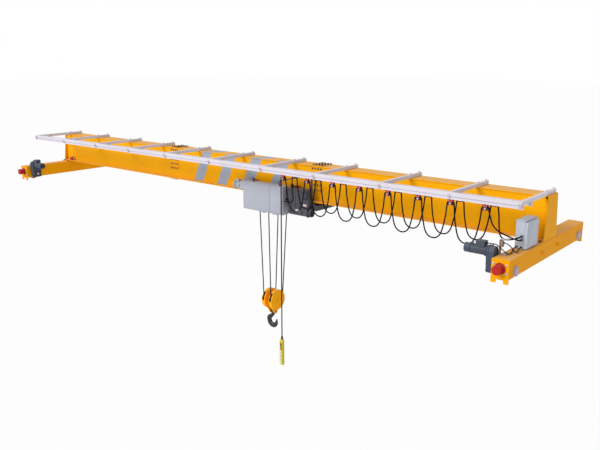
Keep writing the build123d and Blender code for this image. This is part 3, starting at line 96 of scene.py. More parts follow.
class Chip(Enum):
    """Colour chips of the crane's paints, rubbers and metals."""

    CRANE_YELLOW = paint_colour(240, 166, 0)
    TRUCK_YELLOW = paint_colour(240, 162, 0)
    BAND_GREY = paint_colour(158, 164, 178)
    FESTOON_GREY = paint_colour(212, 206, 216)
    PANEL_GREY = paint_colour(166, 170, 180)
    CABINET_GREY = paint_colour(184, 190, 202)
    MOTOR_BLUE = paint_colour(66, 74, 88)
    HUB_GREY = paint_colour(188, 176, 190)
    SILVER = paint_colour(176, 178, 187)
    HOIST_DARK = paint_colour(72, 72, 78)
    SIGNAL_RED = paint_colour(196, 30, 32)
    BUFFER_RED = paint_colour(174, 34, 28)
    WHEEL_RED = paint_colour(122, 22, 16)
    BLOCK_YELLOW = paint_colour(250, 172, 0)
    SAFETY_GREEN = paint_colour(30, 140, 60)
    SAFETY_ORANGE = paint_colour(226, 78, 26)
    PALE_KEY = paint_colour(226, 224, 214)
    PENDANT_YELLOW = paint_colour(200, 190, 44)
    CABLE_BLACK = paint_colour(18, 21, 31)
    RUBBER_BLACK = paint_colour(30, 30, 33)
    ROPE_GREY = paint_colour(40, 40, 44)
    FORGED_GREY = paint_colour(62, 62, 66)
    ZINC = paint_colour(206, 206, 204)
    BARE_STEEL = paint_colour(150, 150, 152)
    POST_BROWN = paint_colour(150, 122, 112)
    BLACK_OXIDE = paint_colour(46, 42, 42)
    SHEAVE_BLUE = paint_colour(66, 74, 90)
    PINK_GREY = paint_colour(204, 180, 182)
    AMBER = paint_colour(150, 96, 40)
    # Pale tint of settled dust. On the yellow paints' tops it is also a painted sheen, and it tints the
    # pendant's worn edges.
    DUST_AND_SHEEN = paint_colour(196, 188, 172)
    PRIMER = paint_colour(120, 96, 78)


class Board:
    """A shader node tree with short calls that add and join its nodes."""

    def __init__(self, tree: bpy.types.NodeTree) -> None:
        """Keep the tree that the nodes go into."""
        self.tree = tree

    def add(self, kind: str, **settings: object) -> bpy.types.Node:
        """Add a node and set its properties.

        Args:
            kind: Blender's name for the node type.
            settings: Properties to set on the node.

        Returns:
            The new node.
        """
        node = self.tree.nodes.new(kind)
        for name, value in settings.items():
            setattr(node, name, value)
        return node

    def feed(self, socket: Socket, value: object) -> None:
        """Link a socket to another one, or give it a plain value."""
        if isinstance(value, bpy.types.NodeSocket):
            self.tree.links.new(value, socket)
        else:
            socket.default_value = value

    def group(self, tree: bpy.types.NodeTree, **values: object) -> bpy.types.Node:
        """Add a shared node group and set the inputs that are named.

        Args:
            tree: The node group.
            values: Value of each input, by its name in lower case.

        Returns:
            The new node.
        """
        node = self.add("ShaderNodeGroup", node_tree=tree)
        for name, value in values.items():
            node.inputs[name.capitalize()].default_value = value
        return node

    def maths(self, operation: str, *values: object, clamp: bool = False) -> Socket:
        """Join values with one arithmetic step.

        Args:
            operation: Name of the arithmetic step.
            values: Sockets or numbers that it takes.
            clamp: Whether the result is kept between 0 and 1.

        Returns:
            The socket with the result.
        """
        node = self.add("ShaderNodeMath", operation=operation, use_clamp=clamp)
        for socket, value in zip(node.inputs, values):
            self.feed(socket, value)
        return node.outputs[0]

    def remap(self, value: Socket, low: object, high: object, to_low: object, to_high: object) -> Socket:
        """Stretch a value from one range to another, clamped at both ends.

        Args:
            value: Socket with the value.
            low: Lower end of the range that is read.
            high: Upper end of the range that is read.
            to_low: Result at the lower end.
            to_high: Result at the upper end.

        Returns:
            The socket with the result.
        """
        node = self.add("ShaderNodeMapRange")
        for number, part in enumerate((value, low, high, to_low, to_high)):
            self.feed(node.inputs[number], part)
        return node.outputs[0]

    def noise(self, vector: Socket, scale: object, detail: float = 3.0) -> Socket:
        """Add a noise pattern.

        Args:
            vector: Socket with the coordinates.
            scale: Scale of the pattern, a socket or a number.
            detail: Layers of finer noise.

        Returns:
            The socket with the pattern's value, 0 to 1.
        """
        node = self.add("ShaderNodeTexNoise")
        self.feed(node.inputs["Vector"], vector)
        self.feed(node.inputs["Scale"], scale)
        node.inputs["Detail"].default_value = detail
        return node.outputs["Fac"]

    def blend(self, mask: object, first: object, second: object) -> Socket:
        """Mix two colours by a mask.

        Args:
            mask: Share of the second colour, a socket or a number.
            first: First colour, a socket or four values.
            second: Second colour, a socket or four values.

        Returns:
            The socket with the mixed colour.
        """
        node = self.add("ShaderNodeMix", data_type="RGBA")
        self.feed(node.inputs[0], mask)
        self.feed(node.inputs[6], first)
        self.feed(node.inputs[7], second)
        return node.outputs[2]


class SurfaceGroups:
    """Node groups for the effects that several finishes share."""

    def __init__(self) -> None:
        """Build the four groups once."""
        self.mottle = self._mottle()
        self.edge_wear = self._edge_wear()
        self.dust_and_top_sheen = self._dust_and_top_sheen()
        self.skin = self._skin()

    @staticmethod
    def _start(name: str, inputs: dict[str, object], output: str, kind: str) -> tuple[Board, object, object]:
        """Open a new node group.

        Args:
            name: Name of the group.
            inputs: Starting value for each input's name, a number or a colour.
            output: Name of the one output.
            kind: Socket type of the output.

        Returns:
            The board, the node that brings the inputs and the node that takes the output.
        """
        tree = bpy.data.node_groups.new(name, "ShaderNodeTree")
        for label, value in inputs.items():
            taken = "NodeSocketColor" if isinstance(value, tuple) else "NodeSocketFloat"
            socket = tree.interface.new_socket(name=label, in_out="INPUT", socket_type=taken)
            socket.default_value = value
        tree.interface.new_socket(name=output, in_out="OUTPUT", socket_type=kind)
        board = Board(tree)
        return board, board.add("NodeGroupInput"), board.add("NodeGroupOutput")

    def _mottle(self) -> bpy.types.NodeTree:
        """Uneven tone of sprayed paint or moulded stock.

        Returns:
            The node group.
        """
        inputs = {"Color": (0.5, 0.5, 0.5, 1.0), "Scale": 2.0, "Strength": 0.06}
        board, inlet, outlet = self._start("uneven_tone", inputs, "Color", "NodeSocketColor")
        place = board.add("ShaderNodeTexCoord").outputs["Object"]
        broad = board.noise(place, inlet.outputs["Scale"], 4.0)
        fine = board.noise(place, board.maths("MULTIPLY", inlet.outputs["Scale"], 14.0), 2.0)
        both = board.maths("ADD", board.maths("MULTIPLY", broad, 0.7), board.maths("MULTIPLY", fine, 0.3))
        dark = board.maths("SUBTRACT", 1.0, inlet.outputs["Strength"])
        light = board.maths("ADD", 1.0, inlet.outputs["Strength"])
        tone = board.remap(both, 0.36, 0.64, dark, light)
        scaled = board.add("ShaderNodeVectorMath", operation="SCALE")
        board.feed(scaled.inputs[0], inlet.outputs["Color"])
        board.feed(scaled.inputs["Scale"], tone)
        board.feed(outlet.inputs["Color"], scaled.outputs[0])
        return board.tree

    def _edge_wear(self) -> bpy.types.NodeTree:
        """Broken mask along the edges, where paint rubs off first.

        Returns:
            The node group.
        """
        inputs = {"Width": 0.004, "Scale": 30.0, "Amount": 0.5}
        board, inlet, outlet = self._start("rubbed_edges", inputs, "Mask", "NodeSocketFloat")
        rounded = board.add("ShaderNodeBevel", samples=3)
        board.feed(rounded.inputs["Radius"], inlet.outputs["Width"])
        flat = board.add("ShaderNodeNewGeometry")
        match = board.add("ShaderNodeVectorMath", operation="DOT_PRODUCT")
        board.feed(match.inputs[0], rounded.outputs["Normal"])
        board.feed(match.inputs[1], flat.outputs["Normal"])
        edge = board.remap(match.outputs["Value"], 0.985, 0.86, 0.0, 1.0)
        place = board.add("ShaderNodeTexCoord").outputs["Object"]
        broken = board.remap(board.noise(place, inlet.outputs["Scale"], 5.0), 0.44, 0.6, 0.0, 1.0)
        mask = board.maths("MULTIPLY", edge, broken)
        board.feed(outlet.inputs["Mask"], board.maths("MULTIPLY", mask, inlet.outputs["Amount"], clamp=True))
        return board.tree

    def _dust_and_top_sheen(self) -> bpy.types.NodeTree:
        """Thin uneven dust on faces that look up; at high amounts it is also a painted sheen that lightens
        the tops.

        Returns:
            The node group.
        """
        inputs = {"Scale": 5.0, "Amount": 0.2}
        board, inlet, outlet = self._start("dust_and_top_sheen", inputs, "Mask", "NodeSocketFloat")
        coordinates = board.add("ShaderNodeTexCoord")
        split = board.add("ShaderNodeSeparateXYZ")
        board.feed(split.inputs[0], coordinates.outputs["Normal"])
        # Faces that look up take the pale tint, which is dust and, at high amounts, a painted top sheen.
        up = board.remap(split.outputs["Z"], 0.35, 0.95, 0.0, 1.0)
        clouds = board.noise(coordinates.outputs["Object"], inlet.outputs["Scale"], 6.0)
        cloud = board.remap(clouds, 0.3, 0.7, 0.3, 1.0)
        mask = board.maths("MULTIPLY", up, cloud)
        board.feed(outlet.inputs["Mask"], board.maths("MULTIPLY", mask, inlet.outputs["Amount"], clamp=True))
        return board.tree

    def _skin(self) -> bpy.types.NodeTree:
        """Height of a surface's fine relief: paint peel, casting skin or moulded grain.

        Returns:
            The node group.
        """
        inputs = {"Scale": 200.0, "Coarse": 0.3}
        board, inlet, outlet = self._start("fine_relief", inputs, "Height", "NodeSocketFloat")
        place = board.add("ShaderNodeTexCoord").outputs["Object"]
        fine = board.noise(place, inlet.outputs["Scale"], 2.0)
        broad = board.noise(place, board.maths("MULTIPLY", inlet.outputs["Scale"], 0.12), 3.0)
        lifted = board.maths("MULTIPLY", broad, inlet.outputs["Coarse"])
        board.feed(outlet.inputs["Height"], board.maths("ADD", fine, lifted))
        return board.tree


@dataclass(frozen=True)
class Relief:
    """Fine relief of a kind of surface."""

    scale: float
    coarse: float
    strength: float
    depth: float


class Surface(Enum):
    """Kinds of surface on the crane, each with its own fine relief."""

    PAINT = Relief(scale=260.0, coarse=0.6, strength=0.12, depth=0.0006)
    SHEET = Relief(scale=420.0, coarse=0.3, strength=0.08, depth=0.0004)
    CASTING = Relief(scale=190.0, coarse=1.2, strength=0.45, depth=0.0012)
    RUBBER = Relief(scale=520.0, coarse=0.4, strength=0.22, depth=0.0005)
    PLASTIC = Relief(scale=700.0, coarse=0.2, strength=0.18, depth=0.0004)
    METAL = Relief(scale=340.0, coarse=0.5, strength=0.10, depth=0.0004)


@dataclass(frozen=True)
class Finish:
    """One finish of the crane, from its chip and its kind of surface."""

    name: str
    chip: Chip
    surface: Surface
    roughness: float = 0.45
    metallic: float = 0.0
    mottle: float = 0.05
    mottle_scale: float = 1.6
    wear: float = 0.35
    wear_chip: Chip = Chip.PRIMER
    wear_width: float = 0.004
    # Amount of pale tint on up-facing faces: settled dust, and at high amounts a painted sheen on the tops.
    dust_and_sheen: float = 0.14
    specular: float = 0.22
    sheen_range: float = 0.07

    def tone(self, board: Board, groups: SurfaceGroups) -> Socket:
        """Base colour before dust, painted top sheen and wear.

        Args:
            board: Board of the material.
            groups: Shared node groups.

        Returns:
            The socket with the colour.
        """
        return self.sprayed(board, groups, self.chip)

    def sprayed(self, board: Board, groups: SurfaceGroups, chip: Chip) -> Socket:
        """One chip with the uneven tone of this finish."""
        uneven = board.group(groups.mottle, color=chip.value, scale=self.mottle_scale, strength=self.mottle)
        return uneven.outputs["Color"]

    def material(self, groups: SurfaceGroups) -> bpy.types.Material:
        """Make the material with tone, dust and painted top sheen, worn edges and relief.

        Args:
            groups: Shared node groups.

        Returns:
            The material.
        """
        made = bpy.data.materials.new(self.name)
        made.use_nodes = True
        board = Board(made.node_tree)
        shader = made.node_tree.nodes["Principled BSDF"]
        wear = board.group(groups.edge_wear, width=self.wear_width, amount=self.wear)
        # Up-facing faces are blended towards the pale tint: dust, and where the amount is high a painted top
        # sheen.
        dust_and_sheen = board.group(groups.dust_and_top_sheen, amount=self.dust_and_sheen)
        dusted_and_sheened = board.blend(dust_and_sheen.outputs["Mask"], self.tone(board, groups), Chip.DUST_AND_SHEEN.value)
        worn = board.blend(wear.outputs["Mask"], dusted_and_sheened, self.wear_chip.value)
        board.feed(shader.inputs["Base Color"], worn)
        place = board.add("ShaderNodeTexCoord").outputs["Object"]
        dull, bright = self.roughness - self.sheen_range, self.roughness + self.sheen_range
        patch = board.remap(board.noise(place, 9.0, 4.0), 0.3, 0.7, dull, bright)
        rough = board.maths("ADD", patch, board.maths("MULTIPLY", dust_and_sheen.outputs["Mask"], 0.5), clamp=True)
        board.feed(shader.inputs["Roughness"], rough)
        shader.inputs["Metallic"].default_value = self.metallic
        shader.inputs["Specular IOR Level"].default_value = self.specular
        relief = self.surface.value
        skin = board.group(groups.skin, scale=relief.scale, coarse=relief.coarse)
        bump = board.add("ShaderNodeBump")
        bump.inputs["Strength"].default_value = relief.strength
        bump.inputs["Distance"].default_value = relief.depth
        board.feed(bump.inputs["Height"], skin.outputs["Height"])
        board.feed(shader.inputs["Normal"], bump.outputs["Normal"])
        return made


@dataclass(frozen=True)
class BandedFinish(Finish):
    """Girder paint with slanted grey bands that run round the middle length."""

    band_chip: Chip = Chip.BAND_GREY
    first: float = -1.019
    pitch: float = 0.606
    width: float = 0.24
    count: int = 4
    slant: float = 0.443
    datum: float = 0.62
    half: float = 0.15
    top: float = 0.832
    foot: float = 0.286
    far_from: float = 0.1

    def tone(self, board: Board, groups: SurfaceGroups) -> Socket:
        """Yellow with the bands over it.

        Args:
            board: Board of the material.
            groups: Shared node groups.

        Returns:
            The socket with the colour.
        """
        yellow = super().tone(board, groups)
        split = board.add("ShaderNodeSeparateXYZ")
        board.feed(split.inputs[0], board.add("ShaderNodeTexCoord").outputs["Object"])
        x, y, z = split.outputs
        far = board.maths("GREATER_THAN", y, self.far_from)
        within = board.maths("MINIMUM", board.maths("MAXIMUM", y, -self.half), self.half)
        across = board.maths("SUBTRACT", within, -self.half)
        turn = board.maths("MULTIPLY_ADD", far, -2.0, 1.0)
        height = board.maths("MULTIPLY", board.maths("SUBTRACT", z, self.datum), turn)
        wrap = board.maths("MULTIPLY", far, 2 * (self.top - self.datum))
        climb = board.maths("ADD", board.maths("ADD", height, across), wrap)
        along = board.maths("SUBTRACT", x, board.maths("MULTIPLY", climb, self.slant))
        step = board.maths("DIVIDE", board.maths("SUBTRACT", along, self.first), self.pitch)
        inside = board.maths("LESS_THAN", board.maths("FRACT", step), self.width / self.pitch)
        begun = board.maths("GREATER_THAN", step, 0.0)
        ended = board.maths("LESS_THAN", step, float(self.count))
        above = board.maths("GREATER_THAN", z, self.foot)
        limits = board.maths("MULTIPLY", ended, above)
        mask = board.maths("MULTIPLY", board.maths("MULTIPLY", inside, begun), limits)
        return board.blend(mask, yellow, self.sprayed(board, groups, self.band_chip))


@dataclass(frozen=True)
class SplitFinish(Finish):
    """Two-tone finish of the cable carriers: painted above a height, black saddle below."""

    low_chip: Chip = Chip.BLACK_OXIDE
    height: float = 0.762

    def tone(self, board: Board, groups: SurfaceGroups) -> Socket:
        """Paint above the split height, black nylon below it.

        Args:
            board: Board of the material.
            groups: Shared node groups.

        Returns:
            The socket with the colour.
        """
        split = board.add("ShaderNodeSeparateXYZ")
        board.feed(split.inputs[0], board.add("ShaderNodeTexCoord").outputs["Object"])
        low = board.maths("LESS_THAN", split.outputs["Z"], self.height)
        return board.blend(low, super().tone(board, groups), self.low_chip.value)


class PaintShop:
    """All the finishes of the crane, made once and handed out by name."""

    def __init__(self) -> None:
        """Make the shared groups and every finish."""
        self.groups = SurfaceGroups()
        self.made: dict[str, bpy.types.Material] = {}
        paint, sheet, cast = Surface.PAINT, Surface.SHEET, Surface.CASTING
        rubber, plastic, metal = Surface.RUBBER, Surface.PLASTIC, Surface.METAL
        finishes = (
            # The yellow paints take a high dust amount, so their tops get a painted sheen as well as dust.
            Finish("girder_paint", Chip.CRANE_YELLOW, paint, 0.50, mottle=0.04, dust_and_sheen=0.42, specular=0.08),
            BandedFinish(
                "banded_girder_paint", Chip.CRANE_YELLOW, paint, 0.50,
                mottle=0.04, dust_and_sheen=0.42, specular=0.08,
            ),
            Finish(
                "truck_paint", Chip.TRUCK_YELLOW, paint, 0.50,
                mottle=0.04, wear=0.45, dust_and_sheen=0.42, specular=0.06,
            ),
            Finish("festoon_paint", Chip.FESTOON_GREY, sheet, 0.45, wear=0.15, wear_chip=Chip.BARE_STEEL),
            Finish("panel_paint", Chip.PANEL_GREY, sheet, 0.42, wear=0.25, wear_chip=Chip.HOIST_DARK),
            Finish("cabinet_paint", Chip.CABINET_GREY, sheet, 0.40, wear=0.20, wear_chip=Chip.HOIST_DARK),
            Finish(
                "motor_paint", Chip.MOTOR_BLUE, cast, 0.46,
                mottle=0.10, wear=0.5, wear_chip=Chip.BARE_STEEL,
            ),
            Finish("hub_paint", Chip.HUB_GREY, cast, 0.48, mottle=0.08, wear=0.5, wear_chip=Chip.ZINC),
            Finish("silver_paint", Chip.SILVER, cast, 0.36, 0.35, wear=0.3, wear_chip=Chip.HOIST_DARK),
            Finish(
                "hoist_paint", Chip.HOIST_DARK, paint, 0.48,
                mottle=0.12, wear=0.5, wear_chip=Chip.BARE_STEEL,
            ),
            Finish("signal_paint", Chip.SIGNAL_RED, sheet, 0.40, mottle=0.06, wear=0.3, wear_width=0.002),
            Finish(
                "buffer_rubber", Chip.BUFFER_RED, rubber, 0.62,
                mottle=0.10, wear=0.2, wear_chip=Chip.WHEEL_RED,
            ),
            Finish(
                "wheel_paint", Chip.WHEEL_RED, cast, 0.50,
                mottle=0.14, wear=0.8, wear_chip=Chip.BARE_STEEL,
            ),
            Finish(
                "block_paint", Chip.BLOCK_YELLOW, paint, 0.44,
                mottle=0.06, wear=0.35, wear_chip=Chip.FORGED_GREY, specular=0.08,
            ),
            Finish(
                "pendant_shell", Chip.PENDANT_YELLOW, plastic, 0.48,
                mottle=0.06, wear=0.2, wear_chip=Chip.DUST_AND_SHEEN,
            ),
            Finish(
                "key_green", Chip.SAFETY_GREEN, plastic, 0.32,
                wear=0.1, wear_chip=Chip.PALE_KEY, wear_width=0.001,
            ),
            Finish(
                "key_red", Chip.SIGNAL_RED, plastic, 0.30,
                wear=0.1, wear_chip=Chip.PALE_KEY, wear_width=0.001,
            ),
            Finish(
                "key_orange", Chip.SAFETY_ORANGE, plastic, 0.30,
                wear=0.1, wear_chip=Chip.PALE_KEY, wear_width=0.001,
            ),
            Finish(
                "key_pale", Chip.PALE_KEY, plastic, 0.32,
                wear=0.15, wear_chip=Chip.HOIST_DARK, wear_width=0.001,
            ),
            Finish(
                "cable_sheath", Chip.CABLE_BLACK, rubber, 0.60,
                mottle=0.12, wear=0.0, dust_and_sheen=0.0, specular=0.04,
            ),
            Finish("black_rubber", Chip.RUBBER_BLACK, rubber, 0.66, mottle=0.15, wear=0.0, dust_and_sheen=0.16),
            Finish(
                "rope_wire", Chip.ROPE_GREY, metal, 0.55,
                mottle=0.18, mottle_scale=30.0, wear=0.0, dust_and_sheen=0.0, specular=0.05,
            ),
            Finish(
                "forged_steel", Chip.FORGED_GREY, cast, 0.46, 0.55,
                mottle=0.16, wear=0.6, wear_chip=Chip.BARE_STEEL,
            ),
            Finish(
                "turned_steel", Chip.BARE_STEEL, metal, 0.34, 0.85,
                mottle=0.10, wear=0.2, wear_chip=Chip.ZINC,
            ),
            Finish(
                "zinc_plate", Chip.ZINC, metal, 0.36, 0.6,
                mottle=0.10, mottle_scale=25.0, wear=0.2, wear_chip=Chip.BARE_STEEL,
            ),
            Finish(
                "black_oxide", Chip.BLACK_OXIDE, metal, 0.40, 0.5,
                mottle=0.14, wear=0.4, wear_chip=Chip.BARE_STEEL,
            ),
            Finish(
                "sheave_paint", Chip.SHEAVE_BLUE, metal, 0.40, 0.3,
                mottle=0.14, wear=0.5, wear_chip=Chip.BARE_STEEL,
            ),
            Finish(
                "plated_fitting", Chip.PINK_GREY, metal, 0.38, 0.3,
                mottle=0.10, wear=0.2, wear_chip=Chip.ZINC,
            ),
            Finish("oil_glass", Chip.AMBER, plastic, 0.12, mottle=0.05, wear=0.0, dust_and_sheen=0.0, specular=0.5),
            SplitFinish(
                "carrier_finish", Chip.SIGNAL_RED, sheet, 0.40,
                mottle=0.06, wear=0.3, wear_width=0.002,
            ),
            Finish(
                "post_paint", Chip.POST_BROWN, sheet, 0.5,
                mottle=0.10, wear=0.5, wear_chip=Chip.BARE_STEEL,
            ),
        )
        for finish in finishes:
            self.made[finish.name] = finish.material(self.groups)

    def dress(self, finish: str, *nodes: str) -> None:
        """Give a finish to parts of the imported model."""
        for node in nodes:
            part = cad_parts[node]
            if not part.material_slots:
                part.data.materials.append(self.made[finish])
            for holder in part.material_slots:
                holder.material = self.made[finish]

    def fit(self, piece: Object, finish: str, body: str) -> Object:
        """Coat a new piece and fix it to the body that carries it.

        Args:
            piece: The piece.
            finish: Name of its finish.
            body: Name of the body.

        Returns:
            The piece.
        """
        self.coat(piece, finish)
        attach(piece, body)
        LOG.info("fitted %s to %s", piece.name, body)
        return piece

    def coat(self, piece: Object, finish: str) -> Object:
        """Give a finish to a new piece and hand it back."""
        piece.data.materials.clear()
        piece.data.materials.append(self.made[finish])
        return piece


class Bench:
    """Modelling steps that all the sub-assemblies use."""

    @staticmethod
    def only(piece: Object) -> None:
        """Select one object alone and make it the active one."""
        bpy.ops.object.select_all(action="DESELECT")
        piece.select_set(True)
        bpy.context.view_layer.objects.active = piece

    @staticmethod
    def settle(name: str) -> Object:
        """Name the primitive just added and put its place into its mesh.

        Args:
            name: Name of the piece.

        Returns:
            The piece.
        """
        piece = bpy.context.active_object
        piece.name = name
        piece.data.name = name
        Bench.only(piece)
        bpy.ops.object.transform_apply(location=True, rotation=True, scale=True)
        return piece

    @staticmethod
    def slab(name: str, low: Point, high: Point) -> Object:
        """Start a piece from a box between two opposite corners.

        Args:
            name: Name of the piece.
            low: One corner.
            high: The corner across from it.

        Returns:
            The piece.
        """
        bpy.ops.object.select_all(action="DESELECT")
        middle = [(a + b) / 2 for a, b in zip(low, high)]
        bpy.ops.mesh.primitive_cube_add(size=1.0, location=middle)
        bpy.context.active_object.scale = [abs(b - a) for a, b in zip(low, high)]
        return Bench.settle(name)

    @staticmethod
    def disc(name: str, start: Point, end: Point, radius: float, sides: int = 32) -> Object:
        """Start a piece from a cylinder between two points.

        Args:
            name: Name of the piece.
            start: Centre of one end.
            end: Centre of the other end.
            radius: Radius of the cylinder.
            sides: Number of side faces.

        Returns:
            The piece.
        """
        bpy.ops.object.select_all(action="DESELECT")
        run = Vector(end) - Vector(start)
        middle = (Vector(start) + Vector(end)) / 2
        turn = run.to_track_quat("Z", "Y").to_euler()
        bpy.ops.mesh.primitive_cylinder_add(
            vertices=sides, radius=radius, depth=run.length, location=middle, rotation=turn
        )
        return Bench.settle(name)

    @staticmethod
    def on_faces(piece: Object, wanted: Chooser, work: Callable[[], object]) -> Object:
        """Do one edit-mode step on chosen faces.

        Args:
            piece: The piece to work on.
            wanted: Says whether a face is worked on.
            work: The step itself.

        Returns:
            The piece.
        """
        Bench.only(piece)
        bpy.ops.object.mode_set(mode="EDIT")
        bpy.ops.mesh.select_mode(type="FACE")
        bpy.ops.mesh.select_all(action="DESELECT")
        bpy.ops.object.mode_set(mode="OBJECT")
        for face in piece.data.polygons:
            face.select = wanted(face)
        bpy.ops.object.mode_set(mode="EDIT")
        work()
        bpy.ops.object.mode_set(mode="OBJECT")
        return piece

    @staticmethod
    def facing(direction: Point) -> Chooser:
        """Choose the faces that look a given way."""
        way = Vector(direction).normalized()
        return lambda face: face.normal.dot(way) > SAME_WAY

    @staticmethod
    def inset(piece: Object, direction: Point, margin: float, depth: float) -> Object:
        """Inset the faces that look one way and raise or sink them."""
        step = lambda: bpy.ops.mesh.inset(thickness=margin, depth=depth, use_individual=False)
        return Bench.on_faces(piece, Bench.facing(direction), step)

    @staticmethod
    def extrude(piece: Object, direction: Point, offset: Point) -> Object:
        """Extrude the faces that look one way by an offset."""
        step = lambda: bpy.ops.mesh.extrude_region_move(TRANSFORM_OT_translate={"value": offset})
        return Bench.on_faces(piece, Bench.facing(direction), step)

    @staticmethod
    def tip(piece: Object, direction: Point) -> Chooser:
        """Choose only the outermost faces that look a given way.

        Args:
            piece: The piece.
            direction: The way that the faces look.

        Returns:
            A test for one face.
        """
        way = Vector(direction).normalized()
        chosen = Bench.facing(direction)
        reach = max(face.center.dot(way) for face in piece.data.polygons if chosen(face))
        return lambda face: chosen(face) and face.center.dot(way) > reach - TOUCHING

    @staticmethod
    def step(piece: Object, direction: Point, margin: float, rise: float) -> Object:
        """Inset the outermost end of a piece and push the new face in or out.

        Args:
            piece: The piece.
            direction: The way that the end looks.
            margin: Width of the shoulder that is left.
            rise: How far the new face moves, outwards if positive.

        Returns:
            The piece.
        """
        shoulder = lambda: bpy.ops.mesh.inset(thickness=margin, depth=0.0, use_individual=False)
        chosen = Bench.tip(piece, direction)
        centre = [face.center.copy() for face in piece.data.polygons if chosen(face)][0]
        Bench.on_faces(piece, chosen, shoulder)
        way = Vector(direction).normalized()
        offset = way * rise
        push = lambda: bpy.ops.mesh.extrude_region_move(TRANSFORM_OT_translate={"value": offset})
        inner = lambda face: face.normal.dot(way) > SAME_WAY and (face.center - centre).length < SAME_PLACE
        return Bench.on_faces(piece, inner, push)

    @staticmethod
    def ring(name: str, centre: Point, axis: Point, radius: float, thickness: float, sides: int) -> Object:
        """Spin a small circle round an axis into a closed ring.

        Args:
            name: Name of the piece.
            centre: Centre of the ring.
            axis: Axis of the ring.
            radius: Radius to the middle of its bar.
            thickness: Thickness of its bar.
            sides: Number of steps round the ring.

        Returns:
            The piece.
        """
        way = Vector(axis).normalized()
        side = way.orthogonal().normalized()
        place = Vector(centre) + side * radius
        turn = way.cross(side).to_track_quat("Z", "Y").to_euler()
        bpy.ops.object.select_all(action="DESELECT")
        bpy.ops.mesh.primitive_circle_add(vertices=8, radius=thickness / 2, location=place, rotation=turn)
        piece = Bench.settle(name)
        bpy.ops.object.mode_set(mode="EDIT")
        bpy.ops.mesh.select_all(action="SELECT")
        bpy.ops.mesh.spin(steps=sides, angle=2 * math.pi, center=centre, axis=way)
        bpy.ops.mesh.select_all(action="SELECT")
        bpy.ops.mesh.remove_doubles(threshold=TOUCHING)
        bpy.ops.mesh.normals_make_consistent(inside=False)
        bpy.ops.object.mode_set(mode="OBJECT")
        bpy.ops.object.shade_smooth_by_angle(angle=math.radians(60))
        return piece

    @staticmethod
    def plate(
        name: str, low: Point, high: Point, way: Point, margin: float, rise: float, edge: float
    ) -> Object:
        """A slab with a raised or sunk panel on one side and rounded edges.

        Args:
            name: Name of the piece.
            low: One corner.
            high: The corner across from it.
            way: The way that the panelled side looks.
            margin: Width of the border round the panel.
            rise: How far the panel stands out.
            edge: Width of the rounding.

        Returns:
            The piece.
        """
        return Bench.soften(Bench.step(Bench.slab(name, low, high), way, margin, rise), edge)

    @staticmethod
    def knob(
        name: str,
        start: Point,
        end: Point,
        radius: float,
        sides: int,
        *shoulders: tuple[float, float],
        edge: float,
        steps: int = 2,
    ) -> Object:
        """A disc whose end is stepped in or out and whose edges are rounded.

        Args:
            name: Name of the piece.
            start: Centre of the foot.
            end: Centre of the end that is stepped.
            radius: Radius of the disc.
            sides: Number of side faces.
            shoulders: Width and rise of each step.
            edge: Width of the rounding.
            steps: Number of faces over the rounding.

        Returns:
            The piece.
        """
        piece = Bench.disc(name, start, end, radius, sides)
        for margin, rise in shoulders:
            Bench.step(piece, Vector(end) - Vector(start), margin, rise)
        return Bench.soften(piece, edge, steps)

    @staticmethod
    def bead(start: Point, end: Point, radius: float, edge: float = 0.0015) -> Object:
        """Lay one weld bead between two points."""
        return Bench.soften(Bench.disc("bead", start, end, radius, 8), edge, 1)

    @staticmethod
    def circle(centre: Point, radius: float, count: int, way: float) -> list[Place]:
        """Space places evenly round a circle that faces along the girder.

        Args:
            centre: Centre of the circle.
            radius: Radius of the circle.
            count: Number of places.
            way: Whether they look to the right, 1, or to the left, -1.

        Returns:
            Foot and outward direction of each place.
        """
        x, y, z = centre
        places = []
        for number in range(count):
            turn = math.radians((180 + 360 * number) / count)
            places.append(((x, y + radius * math.cos(turn), z + radius * math.sin(turn)), (way, 0, 0)))
        return places

    @staticmethod
    def soften(piece: Object, width: float, steps: int = 2, angle: float = 35.0) -> Object:
        """Round the sharp edges with an applied bevel and shade the rest smooth.

        Args:
            piece: The piece.
            width: Width of the rounding.
            steps: Number of faces over it.
            angle: Edges sharper than this many degrees are rounded.

        Returns:
            The piece.
        """
        Bench.only(piece)
        bevel = piece.modifiers.new("rounded_edges", "BEVEL")
        bevel.width = width
        bevel.segments = steps
        bevel.limit_method = "ANGLE"
        bevel.angle_limit = math.radians(angle)
        bpy.ops.object.modifier_apply(modifier=bevel.name)
        bpy.ops.object.shade_smooth_by_angle(angle=math.radians(40))
        return piece

    @staticmethod
    def copy(piece: Object, matrix: Matrix) -> Object:
        """Copy a piece with a mesh of its own, moved by a matrix."""
        twin = piece.copy()
        twin.data = piece.data.copy()
        bpy.context.scene.collection.objects.link(twin)
        twin.data.transform(matrix)
        return twin

    @staticmethod
    def join(name: str, pieces: Sequence[Object]) -> Object:
        """Join several pieces into one.

        Args:
            name: Name of the joined piece.
            pieces: The pieces.

        Returns:
            The joined piece.
        """
        bpy.ops.object.select_all(action="DESELECT")
        for piece in pieces:
            piece.select_set(True)
        bpy.context.view_layer.objects.active = pieces[0]
        if len(pieces) > 1:
            bpy.ops.object.join()
        pieces[0].name = name
        pieces[0].data.name = name
        return pieces[0]

    @staticmethod
    def spread(name: str, pattern: Object, places: Sequence[Place]) -> Object:
        """Copy a pattern that points along +Z to many places, and drop the pattern.

        Args:
            name: Name of the joined piece.
            pattern: The pattern, made about the origin.
            places: Foot and outward direction of each copy.

        Returns:
            The joined piece.
        """
        copies = []
        for foot, outward in places:
            turn = Vector(outward).to_track_quat("Z", "Y").to_matrix().to_4x4()
            copies.append(Bench.copy(pattern, Matrix.Translation(foot) @ turn))
        bpy.data.objects.remove(pattern)
        return Bench.join(name, copies)


